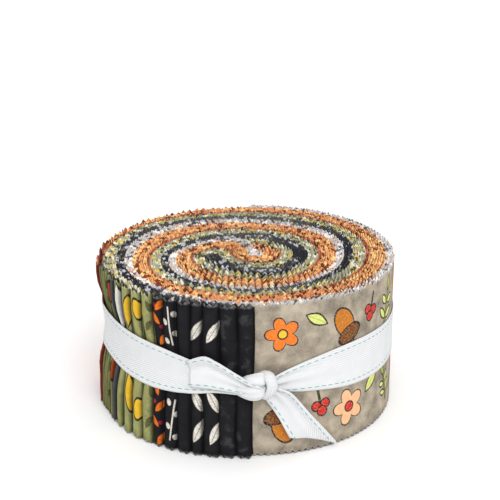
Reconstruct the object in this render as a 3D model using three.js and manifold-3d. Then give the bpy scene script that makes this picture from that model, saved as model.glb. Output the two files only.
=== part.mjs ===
// A roll of forty folded fabric strips, tied round its middle with a woven tape.
//
// Each strip is 2.5 inches wide and as long as the cloth is wide. It is folded in half across
// its length, and the strips are laid on each other with their folds in steps, and wound from
// the raw ends outwards. The roll stands on the strips' edges, so its height is one strip's
// width. The folds show as ribs down the left side, and the outermost strip covers the right.
//
// Sizes are in millimetres and degrees. +Z is up, and the front is towards -Y. The origin is
// the middle of the underside. Angles are seen from above, anticlockwise from the front, and a
// winding angle goes on past a full turn: 0 is the front on the outside, and -720 is two turns
// further in.

import * as THREE from 'three';
import { mergeVertices } from 'three/addons/utils/BufferGeometryUtils.js';
import Module from 'manifold-3d';

const wasm = await Module();
wasm.setup();

// The roll
const STRIP_WIDTH = 63.5;
const RIB_DEPTH = 1.1;
const PLAIN_SIDE_STEP = 5;
const GROOVE_WIDTH = 1.6;
const TOP_GROOVE_DEPTH = 1.2;
const UNDER_GROOVE_DEPTH = 0.8;
const GROOVE_STEP = 7;
const GROOVE_END = -28;

// The tape
const TAPE_THICKNESS = 1.0;
const TAPE_CLEARANCE = 0.4;
const KNOT_SIDES = 14;

// Where the folds of each group of strips lie, from the outermost group to the innermost
const FOLD_GROUPS = [
  { group: 'grey', count: 1, first: -184, last: -184 },
  { group: 'orange', count: 13, first: -177.4, last: -97 },
  { group: 'red', count: 3, first: -91, last: -79 },
  { group: 'green', count: 10, first: -73, last: -35 },
  { group: 'black', count: 7, first: -29, last: 2.75 },
];

// The outer strip's face, up to its fold at the back, and then the crests of the ribs
const PLAIN_SIDE = [
  { angle: -357.25, radius: 60.3 },
  { angle: -315, radius: 61.2 },
  { angle: -270, radius: 61.9 },
  { angle: -225, radius: 62.3 },
  { angle: -200, radius: 63.2 },
  { angle: -184, radius: 64.6 },
];
const RIB_CRESTS = [
  { angle: -184, radius: 61.9 },
  { angle: -146, radius: 60.9 },
  { angle: -120, radius: 60.5 },
  { angle: -90, radius: 61.7 },
  { angle: -50, radius: 61.3 },
  { angle: 2.75, radius: 61.2 },
];

// The innermost strip's face along the winding, from the turned-back middle to the outside
const INNER_FACE = [
  { angle: -788, radius: 15.3 },
  { angle: -755, radius: 16.8 },
  { angle: -720, radius: 20.7 },
  { angle: -690, radius: 25.8 },
  { angle: -630, radius: 23.6 },
  { angle: -588, radius: 21.2 },
  { angle: -530, radius: 22.3 },
  { angle: -485, radius: 23.8 },
  { angle: -471, radius: 25.5 },
  { angle: -450, radius: 30.5 },
  { angle: -425, radius: 35.0 },
  { angle: -405, radius: 38.0 },
  { angle: -360, radius: 41.2 },
  { angle: -315, radius: 41.8 },
  { angle: -270, radius: 41.7 },
  { angle: -233, radius: 44.6 },
  { angle: -180, radius: 45.6 },
  { angle: -146, radius: 49.0 },
  { angle: -90, radius: 51.2 },
  { angle: -50, radius: 55.5 },
  { angle: 0, radius: 60.3 },
];

// How far the tape draws the side in, round the roll, and how that fades up and down
const WAIST = [
  { angle: -360, draw: 0.8 },
  { angle: -330, draw: 0.4 },
  { angle: -270, draw: 0.2 },
  { angle: -210, draw: 0.5 },
  { angle: -180, draw: 1.0 },
  { angle: -130, draw: 2.2 },
  { angle: -90, draw: 2.6 },
  { angle: -60, draw: 2.0 },
  { angle: -30, draw: 1.2 },
  { angle: 2.75, draw: 0.8 },
];
const WAIST_HEIGHT = 34;
const WAIST_REACH = 22;
const SIDE_HEIGHTS = [0, 13, 23, 34, 45, 55];

// The top is a little uneven: how far each ring of it lies below the highest one
const TOP_RINGS = [
  { share: 1, drop: 0.9 },
  { share: 0.68, drop: 1.1 },
  { share: 0.38, drop: 0 },
  { share: 0.15, drop: 0.3 },
  { share: 0, drop: 0.5 },
];

// The band of tape, from its right end in the knot, round the back, to its left end
const BAND = [
  { angle: 5, low: 28.6, high: 33.4 },
  { angle: 10, low: 28.0, high: 34.6 },
  { angle: 15, low: 27.0, high: 36.5 },
  { angle: 22, low: 26.3, high: 39.0 },
  { angle: 30, low: 25.8, high: 41.0 },
  { angle: 42, low: 24.3, high: 42.6 },
  { angle: 70, low: 23.4, high: 42.4 },
  { angle: 110, low: 23.6, high: 42.6 },
  { angle: 150, low: 24.6, high: 43.6 },
  { angle: 190, low: 26.0, high: 45.0 },
  { angle: 230, low: 27.4, high: 46.4 },
  { angle: 265, low: 28.6, high: 47.2 },
  { angle: 292, low: 28.6, high: 46.5 },
  { angle: 310, low: 26.2, high: 45.0 },
  { angle: 330, low: 25.2, high: 43.0 },
  { angle: 342, low: 26.4, high: 40.0 },
  { angle: 350, low: 27.8, high: 37.5 },
  { angle: 356, low: 28.2, high: 35.5 },
  { angle: 362, low: 28.8, high: 34.2 },
];
const BAND_STEP = 5;

// The two loose ends: each row is one line across the tape, with the height off its seat
const RIGHT_END = [
  { fromAngle: 4.5, fromZ: 29.0, toAngle: 8.0, toZ: 31.5, lift: 1.6 },
  { fromAngle: 6.5, fromZ: 26.0, toAngle: 11.0, toZ: 29.0, lift: 1.6 },
  { fromAngle: 9.0, fromZ: 21.0, toAngle: 16.0, toZ: 25.3, lift: 1.3 },
  { fromAngle: 11.5, fromZ: 15.3, toAngle: 21.0, toZ: 18.5, lift: 0.9 },
  { fromAngle: 14.5, fromZ: 10.5, toAngle: 27.0, toZ: 10.5, lift: 0.7 },
  { fromAngle: 16.2, fromZ: 8.8, toAngle: 33.4, toZ: 2.4, lift: 0.6 },
];
const LEFT_END = [
  { fromAngle: 362, fromZ: 29.4, toAngle: 362, toZ: 35.0, lift: 1.8 },
  { fromAngle: 358, fromZ: 29.4, toAngle: 358, toZ: 37.0, lift: 1.4 },
  { fromAngle: 355, fromZ: 29.4, toAngle: 355, toZ: 38.6, lift: 1.0 },
  { fromAngle: 350, fromZ: 29.6, toAngle: 350, toZ: 41.8, lift: 0.8 },
  { fromAngle: 346, fromZ: 29.6, toAngle: 345, toZ: 43.2, lift: 0.8 },
  { fromAngle: 341, fromZ: 29.6, toAngle: 339.5, toZ: 40.5, lift: 0.8 },
];

// The knot's turns, as rounded lobes on the band: half sizes along, up and outwards
const KNOT_LOBES = [
  { lobe: 'wrap', angle: 6.8, z: 31.2, along: 3.5, up: 5.1, out: 4.0, seated: 0 },
  { lobe: 'lower left', angle: 2.0, z: 29.7, along: 4.4, up: 3.3, out: 3.2, seated: 0 },
  { lobe: 'upper left', angle: 2.0, z: 33.7, along: 3.6, up: 2.2, out: 2.8, seated: 0 },
];

function columns(table, keyColumn, valueColumn) {
  const keys = table.map((row) => row[keyColumn]);
  const values = table.map((row) => row[valueColumn]);
  const between = new THREE.LinearInterpolant(keys, values, 1);
  return (key) => between.evaluate(key)[0];
}

const plainRadius = columns(PLAIN_SIDE, 'angle', 'radius');
const crestRadius = columns(RIB_CRESTS, 'angle', 'radius');
const innerRadius = columns(INNER_FACE, 'angle', 'radius');
const waistDraw = columns(WAIST, 'angle', 'draw');
const topDrop = columns([...TOP_RINGS].reverse(), 'share', 'drop');
const bandLow = columns(BAND, 'angle', 'low');
const bandHigh = columns(BAND, 'angle', 'high');

function place(angle, radius, z) {
  const turn = THREE.MathUtils.degToRad(angle);
  return new THREE.Vector3(radius * Math.sin(turn), -radius * Math.cos(turn), z);
}

// A closed body from its points and triangles, with its faces turned outwards
function solid(points, triangles) {
  const geometry = new THREE.BufferGeometry().setFromPoints(points);
  geometry.setIndex(triangles);
  return solidOf(geometry);
}

function solidOf(geometry) {
  geometry.deleteAttribute('normal');
  geometry.deleteAttribute('uv');
  const merged = mergeVertices(geometry);
  const position = merged.attributes.position;
  const index = merged.index.array;
  const a = new THREE.Vector3();
  const b = new THREE.Vector3();
  const c = new THREE.Vector3();
  let volume = 0;
  for (let i = 0; i < index.length; i += 3) {
    a.fromBufferAttribute(position, index[i]);
    b.fromBufferAttribute(position, index[i + 1]);
    c.fromBufferAttribute(position, index[i + 2]);
    volume += a.dot(b.cross(c));
  }
  const triVerts = new Uint32Array(index);
  if (volume < 0) {
    triVerts.reverse();
  }
  const vertProperties = new Float32Array(position.array);
  return new wasm.Manifold(new wasm.Mesh({ numProp: 3, vertProperties, triVerts }));
}

function geometryOf(manifold) {
  const mesh = manifold.getMesh();
  const geometry = new THREE.BufferGeometry();
  geometry.setAttribute('position', new THREE.BufferAttribute(mesh.vertProperties, 3));
  geometry.setIndex(new THREE.BufferAttribute(mesh.triVerts, 1));
  geometry.computeVertexNormals();
  return geometry;
}

// Closed loops of points, one after another, joined into a body with flat ends. Each loop goes
// out along one face of a sheet and back along the other.
function loft(loops) {
  const size = loops[0].length;
  const triangles = [];
  for (let row = 0; row + 1 < loops.length; row++) {
    for (let i = 0; i < size; i++) {
      const here = row * size + i;
      const next = row * size + ((i + 1) % size);
      triangles.push(here, next, next + size, here, next + size, here + size);
    }
  }
  const last = (loops.length - 1) * size;
  for (let i = 0; i + 1 < size / 2; i++) {
    const across = size - 1 - i;
    triangles.push(i, across, i + 1, i + 1, across, across - 1);
    triangles.push(last + i, last + i + 1, last + across);
    triangles.push(last + i + 1, last + across - 1, last + across);
  }
  return solid(loops.flat(), triangles);
}

// The roll's outline seen from above, as winding angles with their radii: the smooth side of
// the outermost strip, and then the ribs, each with its foot, its flank, its crest and its fold
function rollOutline() {
  const outline = [];
  const folds = [];
  for (const { count, first, last } of FOLD_GROUPS) {
    for (let i = 0; i < count; i++) {
      folds.push(first + ((last - first) * i) / Math.max(count - 1, 1));
    }
  }
  const plainSteps = Math.round((folds[0] - PLAIN_SIDE[0].angle) / PLAIN_SIDE_STEP);
  for (let i = 0; i <= plainSteps; i++) {
    const angle = PLAIN_SIDE[0].angle + ((folds[0] - PLAIN_SIDE[0].angle) * i) / plainSteps;
    outline.push({ angle, radius: plainRadius(angle) });
  }
  const ribShape = [
    { along: 0.08, sink: 1 },
    { along: 0.35, sink: 0.3 },
    { along: 0.65, sink: 0 },
    { along: 0.95, sink: 0.25 },
  ];
  for (let i = 0; i + 1 < folds.length; i++) {
    for (const { along, sink } of ribShape) {
      const angle = folds[i] + (folds[i + 1] - folds[i]) * along;
      outline.push({ angle, radius: crestRadius(angle) - sink * RIB_DEPTH });
    }
  }
  return outline;
}

function waist(angle, z) {
  const away = Math.min(Math.abs(z - WAIST_HEIGHT) / WAIST_REACH, 1);
  return waistDraw(angle) * (0.5 + 0.5 * Math.cos(Math.PI * away));
}

const OUTLINE = rollOutline();

function makeRoll() {
  const points = [];
  for (const z of SIDE_HEIGHTS) {
    for (const { angle, radius } of OUTLINE) {
      points.push(place(angle, radius - waist(angle, z), z));
    }
  }
  for (const { share, drop } of TOP_RINGS.slice(0, -1)) {
    for (const { angle, radius } of OUTLINE) {
      points.push(place(angle, radius * share, STRIP_WIDTH - drop));
    }
  }
  const size = OUTLINE.length;
  const rows = points.length / size;
  const triangles = [];
  for (let row = 0; row + 1 < rows; row++) {
    for (let i = 0; i < size; i++) {
      const here = row * size + i;
      const next = row * size + ((i + 1) % size);
      triangles.push(here, next, next + size, here, next + size, here + size);
    }
  }
  const under = points.push(new THREE.Vector3(0, 0, 0)) - 1;
  const crown = points.push(new THREE.Vector3(0, 0, STRIP_WIDTH - TOP_RINGS.at(-1).drop)) - 1;
  const topRow = (rows - 1) * size;
  for (let i = 0; i < size; i++) {
    const next = (i + 1) % size;
    triangles.push(next, i, under);
    triangles.push(topRow + i, topRow + next, crown);
  }
  return solid(points, triangles)
    .subtract(windingGroove(topFloor, STRIP_WIDTH + GROOVE_WIDTH))
    .subtract(windingGroove(() => -GROOVE_WIDTH, UNDER_GROOVE_DEPTH));
}

function topFloor(radius) {
  const rim = PLAIN_SIDE[0].radius;
  return STRIP_WIDTH - topDrop(radius / rim) - TOP_GROOVE_DEPTH;
}

// The groove where one turn of the wound strips meets the next, as the body to cut away
function windingGroove(floorAt, ceiling) {
  const start = INNER_FACE[0].angle;
  const steps = Math.round((GROOVE_END - start) / GROOVE_STEP);
  const loops = [];
  for (let i = 0; i <= steps; i++) {
    const angle = start + ((GROOVE_END - start) * i) / steps;
    const inner = innerRadius(angle) - GROOVE_WIDTH / 2;
    const outer = innerRadius(angle) + GROOVE_WIDTH / 2;
    const floor = floorAt(innerRadius(angle));
    loops.push([
      place(angle, inner, floor),
      place(angle, outer, floor),
      place(angle, outer, ceiling),
      place(angle, inner, ceiling),
    ]);
  }
  return loft(loops);
}

// The line that a tight tape takes round the roll at one height: the outline without hollows
function tightLine(z) {
  const points = OUTLINE.map(({ angle, radius }) => place(angle, radius - waist(angle, z), z));
  points.sort((a, b) => a.x - b.x || a.y - b.y);
  const turn = (a, b, c) => (b.x - a.x) * (c.y - a.y) - (b.y - a.y) * (c.x - a.x);
  const half = (list) => {
    const kept = [];
    for (const point of list) {
      while (kept.length > 1 && turn(kept.at(-2), kept.at(-1), point) <= 0) {
        kept.pop();
      }
      kept.push(point);
    }
    return kept.slice(0, -1);
  };
  return [...half(points), ...half([...points].reverse())];
}

function reach(line, angle) {
  const out = place(angle, 1, 0);
  for (let i = 0; i < line.length; i++) {
    const a = line[i];
    const b = line[(i + 1) % line.length];
    const edge = { x: b.x - a.x, y: b.y - a.y };
    const cross = out.x * edge.y - out.y * edge.x;
    const radius = (a.x * edge.y - a.y * edge.x) / cross;
    const share = (a.x * out.y - a.y * out.x) / cross;
    if (radius > 0 && share >= -1e-9 && share <= 1 + 1e-9) {
      return radius;
    }
  }
  throw new Error(`no edge of the roll's outline at ${angle} degrees`);
}

const TIGHT_LINES = SIDE_HEIGHTS.map((z) => tightLine(z));

// The radius at which the tape lies on the roll
function seat(angle, z) {
  const above = Math.max(SIDE_HEIGHTS.findIndex((height) => height > z), 1);
  const share = (z - SIDE_HEIGHTS[above - 1]) / (SIDE_HEIGHTS[above] - SIDE_HEIGHTS[above - 1]);
  const low = reach(TIGHT_LINES[above - 1], angle);
  const high = reach(TIGHT_LINES[above], angle);
  return low + (high - low) * share + TAPE_CLEARANCE;
}

// A length of tape from its lines across, each with the points from one edge to the other
function tape(lines, pointsAcross) {
  const loops = lines.map(({ fromAngle, fromZ, toAngle, toZ, lift }) => {
    const outer = [];
    const inner = [];
    for (let i = 0; i < pointsAcross; i++) {
      const share = i / (pointsAcross - 1);
      const angle = fromAngle + (toAngle - fromAngle) * share;
      const z = fromZ + (toZ - fromZ) * share;
      const radius = seat(angle, z) + lift;
      outer.push(place(angle, radius + TAPE_THICKNESS, z));
      inner.unshift(place(angle, radius, z));
    }
    return [...outer, ...inner];
  });
  return loft(loops);
}

function tapeBand() {
  const start = BAND[0].angle;
  const end = BAND.at(-1).angle;
  const steps = Math.round((end - start) / BAND_STEP);
  const lines = [];
  for (let i = 0; i <= steps; i++) {
    const angle = start + ((end - start) * i) / steps;
    const fromZ = bandLow(angle);
    const toZ = bandHigh(angle);
    lines.push({ fromAngle: angle, fromZ, toAngle: angle, toZ, lift: 0 });
  }
  return tape(lines, 4);
}

function knotLobe({ angle, z, along, up, out, seated }) {
  const geometry = new THREE.SphereGeometry(1, KNOT_SIDES, KNOT_SIDES - 4);
  geometry.rotateX(Math.PI / 2);
  geometry.scale(along, out, up);
  geometry.rotateZ(THREE.MathUtils.degToRad(angle));
  const centre = place(angle, seat(angle, z) + out + seated, z);
  geometry.translate(centre.x, centre.y, centre.z);
  return solidOf(geometry);
}

function makeTape() {
  const pieces = [tape(RIGHT_END, 4), tape(LEFT_END, 4), ...KNOT_LOBES.map(knotLobe)];
  return pieces.reduce((joined, piece) => joined.add(piece), tapeBand());
}

function subPart(name, body, material) {
  const mesh = new THREE.Mesh(geometryOf(body), material);
  mesh.name = name;
  return mesh;
}

const printedCotton = new THREE.MeshStandardMaterial({
  color: 0x9c917f,
  roughness: 0.9,
  metalness: 0,
});
const wovenTape = new THREE.MeshStandardMaterial({
  color: 0xf1f1ee,
  roughness: 0.8,
  metalness: 0,
});

const fabricStripRoll = new THREE.Group();
fabricStripRoll.add(subPart('strip_roll', makeRoll(), printedCotton));
fabricStripRoll.add(subPart('tie_ribbon', makeTape(), wovenTape));

export default fabricStripRoll;
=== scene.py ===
# %% [markdown]
# A roll of forty folded fabric strips, tied round its middle with a woven tape.
#
# A maker cuts each strip 2.5 inches wide with a zigzag blade, folds it in half across its
# length, lays the folded strips on each other with the folds in steps, and winds the bundle up
# from the raw ends outwards. Every strip is built that way here: a path seen from above, made
# into standing cloth with zigzag edges. The tape, its knot and its stitching come after that,
# then the finishes, and last the floor, the lights and the camera.

# %% Libraries and the frame
import math

import bmesh
import bpy
import numpy as np
from mathutils import Matrix, Vector


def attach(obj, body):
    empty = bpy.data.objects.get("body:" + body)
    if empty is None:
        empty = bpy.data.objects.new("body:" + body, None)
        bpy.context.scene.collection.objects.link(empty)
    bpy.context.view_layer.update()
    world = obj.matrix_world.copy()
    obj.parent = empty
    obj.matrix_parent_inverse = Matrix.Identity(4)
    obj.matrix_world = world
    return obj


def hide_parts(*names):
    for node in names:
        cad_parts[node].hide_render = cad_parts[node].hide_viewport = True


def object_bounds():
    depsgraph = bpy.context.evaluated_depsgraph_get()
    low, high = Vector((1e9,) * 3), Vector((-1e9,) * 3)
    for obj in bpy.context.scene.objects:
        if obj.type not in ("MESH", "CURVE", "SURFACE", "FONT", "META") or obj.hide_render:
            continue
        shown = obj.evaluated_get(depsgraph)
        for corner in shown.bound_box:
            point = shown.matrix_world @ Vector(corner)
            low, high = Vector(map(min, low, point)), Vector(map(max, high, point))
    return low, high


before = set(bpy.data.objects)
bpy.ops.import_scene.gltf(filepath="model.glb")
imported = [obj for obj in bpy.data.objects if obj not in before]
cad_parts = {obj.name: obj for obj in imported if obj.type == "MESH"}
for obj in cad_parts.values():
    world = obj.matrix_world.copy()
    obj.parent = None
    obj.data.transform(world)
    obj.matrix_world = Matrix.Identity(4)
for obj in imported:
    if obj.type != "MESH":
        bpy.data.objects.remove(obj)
cad_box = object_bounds()
MM = 0.001
STRIP_WIDTH = round((cad_box[1][2] - cad_box[0][2]) / MM, 2)


def linked(name, data):
    """A new object for some data, in the scene and at its origin."""
    made = bpy.data.objects.new(name, data)
    bpy.context.collection.objects.link(made)
    return made


print("the roll is", STRIP_WIDTH, "mm high")

# %% [markdown]
# The camera comes first, so that every piece can be looked at from the photograph's side. It
# stands in front of the roll and looks down on it by about 20 degrees, with a long lens.

# %% The camera
CAMERA_PLACE = np.array([0.0, -484.2, 237.1])
CAMERA_AIM = np.array([0.0, 0.0, 64.6])
CAMERA_YAW = math.radians(0.24)
CAMERA_ROLL = math.radians(0.13)
FOCAL_PIXELS = 1207.7
PICTURE_PIXELS = 500
SENSOR_MM = 36.0


def aimed_axes(place, aim, yaw, roll):
    """Right, up and backward directions of a camera that looks at aim, then turns a little."""
    forward = (aim - place) / np.linalg.norm(aim - place)
    right = np.cross(forward, [0, 0, 1])
    right /= np.linalg.norm(right)
    up = np.cross(right, forward)
    turned = forward * math.cos(yaw) + right * math.sin(yaw)
    side = np.cross(turned, up)
    side /= np.linalg.norm(side)
    return (
        side * math.cos(roll) + up * math.sin(roll),
        up * math.cos(roll) - side * math.sin(roll),
        -turned,
    )


def add_camera():
    data = bpy.data.cameras.new("photo_camera")
    data.sensor_width = SENSOR_MM
    data.lens = SENSOR_MM * FOCAL_PIXELS / PICTURE_PIXELS
    camera = linked("photo_camera", data)
    axes = aimed_axes(CAMERA_PLACE, CAMERA_AIM, CAMERA_YAW, CAMERA_ROLL)
    matrix = np.eye(4)
    matrix[:3, :3] = np.array(axes).T
    matrix[:3, 3] = CAMERA_PLACE * MM
    camera.matrix_world = Matrix(matrix.tolist())
    bpy.context.scene.camera = camera
    return camera


camera = add_camera()
print("the lens is", round(camera.data.lens, 1), "mm")

# %% [markdown]
# Seen from above, the bundle of strips is a spiral. Angles are in degrees, anticlockwise from
# the front, and go on past a full turn: 0 is the front on the outside, and -720 is two turns
# further in. One table gives the radius of the bundle's inner face, which is the black strips',
# along the winding. The other side of the bundle lies on the next turn's inner face.

# %% The winding, in millimetres and degrees
INNER_FACE = np.array([
    (-788, 15.3), (-773, 15.5), (-755, 16.8), (-740, 18.5), (-720, 20.7), (-703, 23.7),
    (-690, 25.8), (-668, 24.9), (-630, 23.6), (-603, 21.7), (-588, 21.2), (-558, 21.8),
    (-530, 22.3), (-502, 22.8), (-485, 23.8), (-471, 25.5), (-450, 30.5), (-425, 35.0),
    (-405, 38.0), (-385, 40.2), (-360, 41.2), (-315, 41.8), (-270, 41.7), (-233, 44.6),
    (-206, 45.3), (-180, 45.6), (-146, 49.0), (-120, 50.3), (-90, 51.2), (-50, 55.5),
    (0, 60.3), (10, 61.2),
])
STRIP_THICKNESS = np.array([
    (-360, 0.478), (-270, 0.505), (-233, 0.445), (-184, 0.475), (-146, 0.41), (-120, 0.41),
    (-90, 0.51), (-50, 0.60), (10, 0.60),
])
BUNDLE_START = -788
LAYERS_MIDDLE = np.array([4.5, 0.5])
TURN_BACK = np.array([
    (-21.2, 12.2), (-11.2, 19.5), (-4.0, 21.0), (2.0, 14.0), (4.5, 6.0), (4.5, 0.5),
])
STRIPS = 40


def smooth_table(table):
    """A function that runs smoothly through a table's rows."""
    keys, values = table[:, 0], table[:, 1:]
    slopes = np.gradient(values, keys, axis=0)

    def read(key):
        key = np.clip(np.asarray(key, float), keys[0], keys[-1])
        i = np.clip(np.searchsorted(keys, key, side="right") - 1, 0, len(keys) - 2)
        step = (keys[i + 1] - keys[i])[..., None]
        t = (key[..., None] - keys[i][..., None]) / step
        near = (2 * t**3 - 3 * t**2 + 1) * values[i] + (t**3 - 2 * t**2 + t) * step * slopes[i]
        far = (3 * t**2 - 2 * t**3) * values[i + 1] + (t**3 - t**2) * step * slopes[i + 1]
        return (near + far)[..., 0] if values.shape[1] == 1 else near + far

    return read


inner_face = smooth_table(INNER_FACE)
outer_turn_thickness = smooth_table(STRIP_THICKNESS)


def strip_thickness(turn):
    """How thick one folded strip lies at a winding angle."""
    inside = (inner_face(turn + 360) - inner_face(turn)) / STRIPS
    return np.where(turn < -360, inside, outer_turn_thickness(turn))


def polar(turn, radius):
    """Points in plan at winding angles and radii."""
    angle = np.radians(turn)
    return np.stack([radius * np.sin(angle), -radius * np.cos(angle)], axis=-1)


print("inner face at the front:", [round(float(inner_face(a)), 1) for a in (-720, -360, 0)])

# %% [markdown]
# Each strip ends on the outside in its fold. The folds lie in steps, so that a narrow part of
# every strip shows down the left side, and the outermost strip covers the whole right side.
# The table lists the groups of cloth from the inside of the bundle outwards.

# %% Where the folds lie
FOLDS = {
    "black": (2.75, -3.1, -9.4, -15.6, -20.0, -25.5, -31.0),
    "green": (-35.5, -41.0, -47.0, -52.5, -57.5, -61.5, -64.5, -67.2, -69.8, -72.4),
    "red": (-75.2, -81.5, -88.5),
    "orange": tuple(-97.0 - 6.7 * i for i in range(13)),
    "grey": tuple(-180.4 - 0.6 * i for i in range(7)),
}
FOLD_ANGLES = [angle for group in FOLDS.values() for angle in group]
print(len(FOLD_ANGLES), "strips")

# %% [markdown]
# A strip's layer is followed from its raw end in the middle: a first pass inside the bundle's
# own curve, the turn back round the tip, and then the long way out to the fold. The level says
# how far across the bundle the layer lies, from 0 on the black side to 40 on the grey one.

# %% One layer's path
PASS_STEP = 1.0
RAW_END = -540
RAW_END_SPREAD = 7
TEETH_ALIGNED_AT = -720
SMOOTHING_PASSES = 30
STIFF_FROM = -430
SOFT_OVER = 60
TURN_BACK_FROM = -500
TURN_BACK_STEP = 6.0
TURN_BACK_POINTS = 160
UNWOUND = -1000
CLOSEST_TO_FOLD = 0.2


def layer_path(level, end):
    """Plan points of a layer from its raw end to the winding angle end, with their angles."""
    share = level / STRIPS
    raw_end = RAW_END + RAW_END_SPREAD * math.sin(level * 2.4)
    first = np.arange(raw_end, BUNDLE_START, -PASS_STEP)
    first_points = LAYERS_MIDDLE + (polar(first, inner_face(first)) - LAYERS_MIDDLE) * (1 - share)
    tip = polar(BUNDLE_START, inner_face(BUNDLE_START))
    along_face = np.arange(BUNDLE_START + 360, TURN_BACK_FROM, -TURN_BACK_STEP)
    outside = np.concatenate([polar(along_face, inner_face(along_face)), TURN_BACK])
    steps = np.linspace(0, len(outside) - 1, TURN_BACK_POINTS)
    outside = smooth_table(np.column_stack([np.arange(len(outside)), outside]))(steps)
    back_points = (tip + (outside - tip) * share)[::-1]
    second = np.arange(BUNDLE_START, end + 1e-6, PASS_STEP)
    second = np.append(second[second < end - CLOSEST_TO_FOLD], end)
    second_points = polar(second, inner_face(second) + level * strip_thickness(second))
    points = np.concatenate([first_points, back_points[1:-1], second_points])
    unwound = np.full(len(first) + len(back_points) - 2, float(UNWOUND))
    return soften(points, np.concatenate([unwound, second]))


def soften(points, turns):
    """Rounds the sharp turns in the middle of the roll, and leaves the outer turn as it is."""
    loose = np.clip((STIFF_FROM - turns[1:-1]) / SOFT_OVER, 0, 1)[:, None] * 0.5
    for _ in range(SMOOTHING_PASSES):
        points[1:-1] += loose * ((points[:-2] + points[2:]) / 2 - points[1:-1])
    return points, turns


def lengths_along(points):
    """How far along the line through the points each of them is."""
    steps = np.linalg.norm(np.diff(points, axis=0), axis=1)
    return np.concatenate([[0.0], np.cumsum(steps)])


for level in (0.5, 39.5):
    points, _ = layer_path(level, FOLD_ANGLES[int(level)])
    print("a layer at level", level, "is", round(lengths_along(points)[-1]), "mm long")

# %% [markdown]
# The zigzag blade cut the flat strips before they were folded and wound, so a tooth's place is
# counted in millimetres along its own strip and not in degrees round the roll. All strips count
# from one winding angle. Near it the teeth of all layers stand in line, as ridges across the
# roll's middle, and further out they run out of step. A strip becomes columns that stand half a
# tooth apart where it is wound in, and closer where it shows.

# %% The teeth
TOOTH_PITCH = 2.75
TOOTH_DEPTH = 1.45
HALF_TOOTH = TOOTH_PITCH / 2
SHORTEST_STEP = 0.2


def notch(length):
    """How deeply the zigzag edge is cut at a length along the strip, from 0 to 1."""
    return 1 - np.abs((length / HALF_TOOTH) % 2 - 1)


def tooth_scale(k):
    """Winding angles, and the lengths that the teeth of strip k are counted by."""
    points, turns = layer_path(k + 0.5, FOLD_ANGLES[k])
    lengths = lengths_along(points)
    wound = turns >= BUNDLE_START
    out_of_step = 0.12 * math.sin(k * 2.39) + 0.1 * math.sin(k * 5.1)
    start = np.interp(TEETH_ALIGNED_AT, turns[wound], lengths[wound]) + out_of_step
    return turns[wound], lengths[wound] - start


TOOTH_SCALES = [tooth_scale(k) for k in range(STRIPS)]


def tooth_lengths(k, turns, lengths):
    """Where each point of a layer is on its strip's scale, so that both layers are in step."""
    scale_turns, scale = TOOTH_SCALES[k]
    wound = turns >= BUNDLE_START
    first = np.argmax(wound)
    unwound = lengths - lengths[first] + scale[0]
    return np.where(wound, np.interp(turns, scale_turns, scale), unwound)


def column_stations(scale, fine_from, fine_step):
    """Places on the scale at which a layer's columns stand, from its raw end to its fold."""
    start = math.ceil(scale[0] / HALF_TOOTH) * HALF_TOOTH
    coarse = np.concatenate([scale[:1], np.arange(start, fine_from, HALF_TOOTH)])
    fine = np.arange(coarse[-1] + fine_step, scale[-1] - SHORTEST_STEP, fine_step)
    return np.concatenate([coarse, fine, scale[-1:]])


print("teeth on the outermost layer:", round(np.ptp(TOOTH_SCALES[-1][1]) / TOOTH_PITCH))

# %% [markdown]
# Near its fold a strip stands proud of the strips below it, as a soft rib that rises steeply from
# the fold. A narrow rib can't stand as high as a wide one. Little light reaches the valleys
# between the ribs, so the columns also get a number for the shade there, which the finishes read.

# %% The ribs
RIB_HEIGHT = 2.0
RIB_HEIGHT_PER_WIDTH = 0.42
RIB_LEAN = 0.85
RIB_ROUNDNESS = 0.45
FOLD_OPENING = 0.3
SHADE_AT_FOLD = 0.7
SHADE_AT_FOOT = 1.2
NARROW_RIB = 1.5


def rib_profile(from_fold, exposed):
    """How far the outer layer stands out, at distances back from the fold."""
    share = np.clip(from_fold / exposed, 0, 1)
    leaning = share**RIB_LEAN
    rib = (4 * leaning * (1 - leaning)) ** RIB_ROUNDNESS
    height = min(RIB_HEIGHT, exposed * RIB_HEIGHT_PER_WIDTH)
    return FOLD_OPENING * (1 - share) + height * rib


def valley_shade(from_fold, exposed):
    """How deep in the valleys on both sides of a rib its columns lie, from 0 to about 1."""
    shade = np.exp(-from_fold / SHADE_AT_FOLD)
    shade += np.exp(-(((exposed - from_fold) / SHADE_AT_FOOT) ** 2))
    return shade * min(max(exposed - NARROW_RIB, 0) / NARROW_RIB, 1)


print("a rib 6 mm wide stands out by", rib_profile(np.array([0, 2, 4, 6]), 6.0).round(1), "mm")

# %% [markdown]
# Both layers of a strip follow their paths from a raw end to the fold, and a small loop joins
# them there. The columns keep what the later steps need: their places in plan, how deeply the
# blade cut them, whether they show, how far past the fold they are on the cloth, how far they
# stand out, and their shade. The outermost strip has no rib, and only its fold stands off a
# little.

# %% A strip's columns
FOLD_REACH = 0.5
FOLD_LENGTH = 1.5
FOLD_SHADE = 0.7
SMOOTH_FOLD_LENGTH = 9.0
TUCKED_LENGTH = 2.5
RETURN_LENGTH = 3.0
LEAST_EXPOSED = 0.8
FIRST_FOLD_BELOW = -357.2
LEVEL_OF_INNER_LAYER = 0.25
LEVEL_OF_OUTER_LAYER = 0.75
LOOP_ANGLES = np.radians([-60, -25, 10, 45, 75])


def exposed_width(k):
    """How much of strip k shows between its own fold and the next one."""
    fold = FOLD_ANGLES[k]
    radius = float(inner_face(fold) + (k + 1) * strip_thickness(fold))
    next_fold = FIRST_FOLD_BELOW if k == STRIPS - 1 else FOLD_ANGLES[k + 1]
    return max(radius * math.radians(fold - next_fold), LEAST_EXPOSED)


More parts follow.
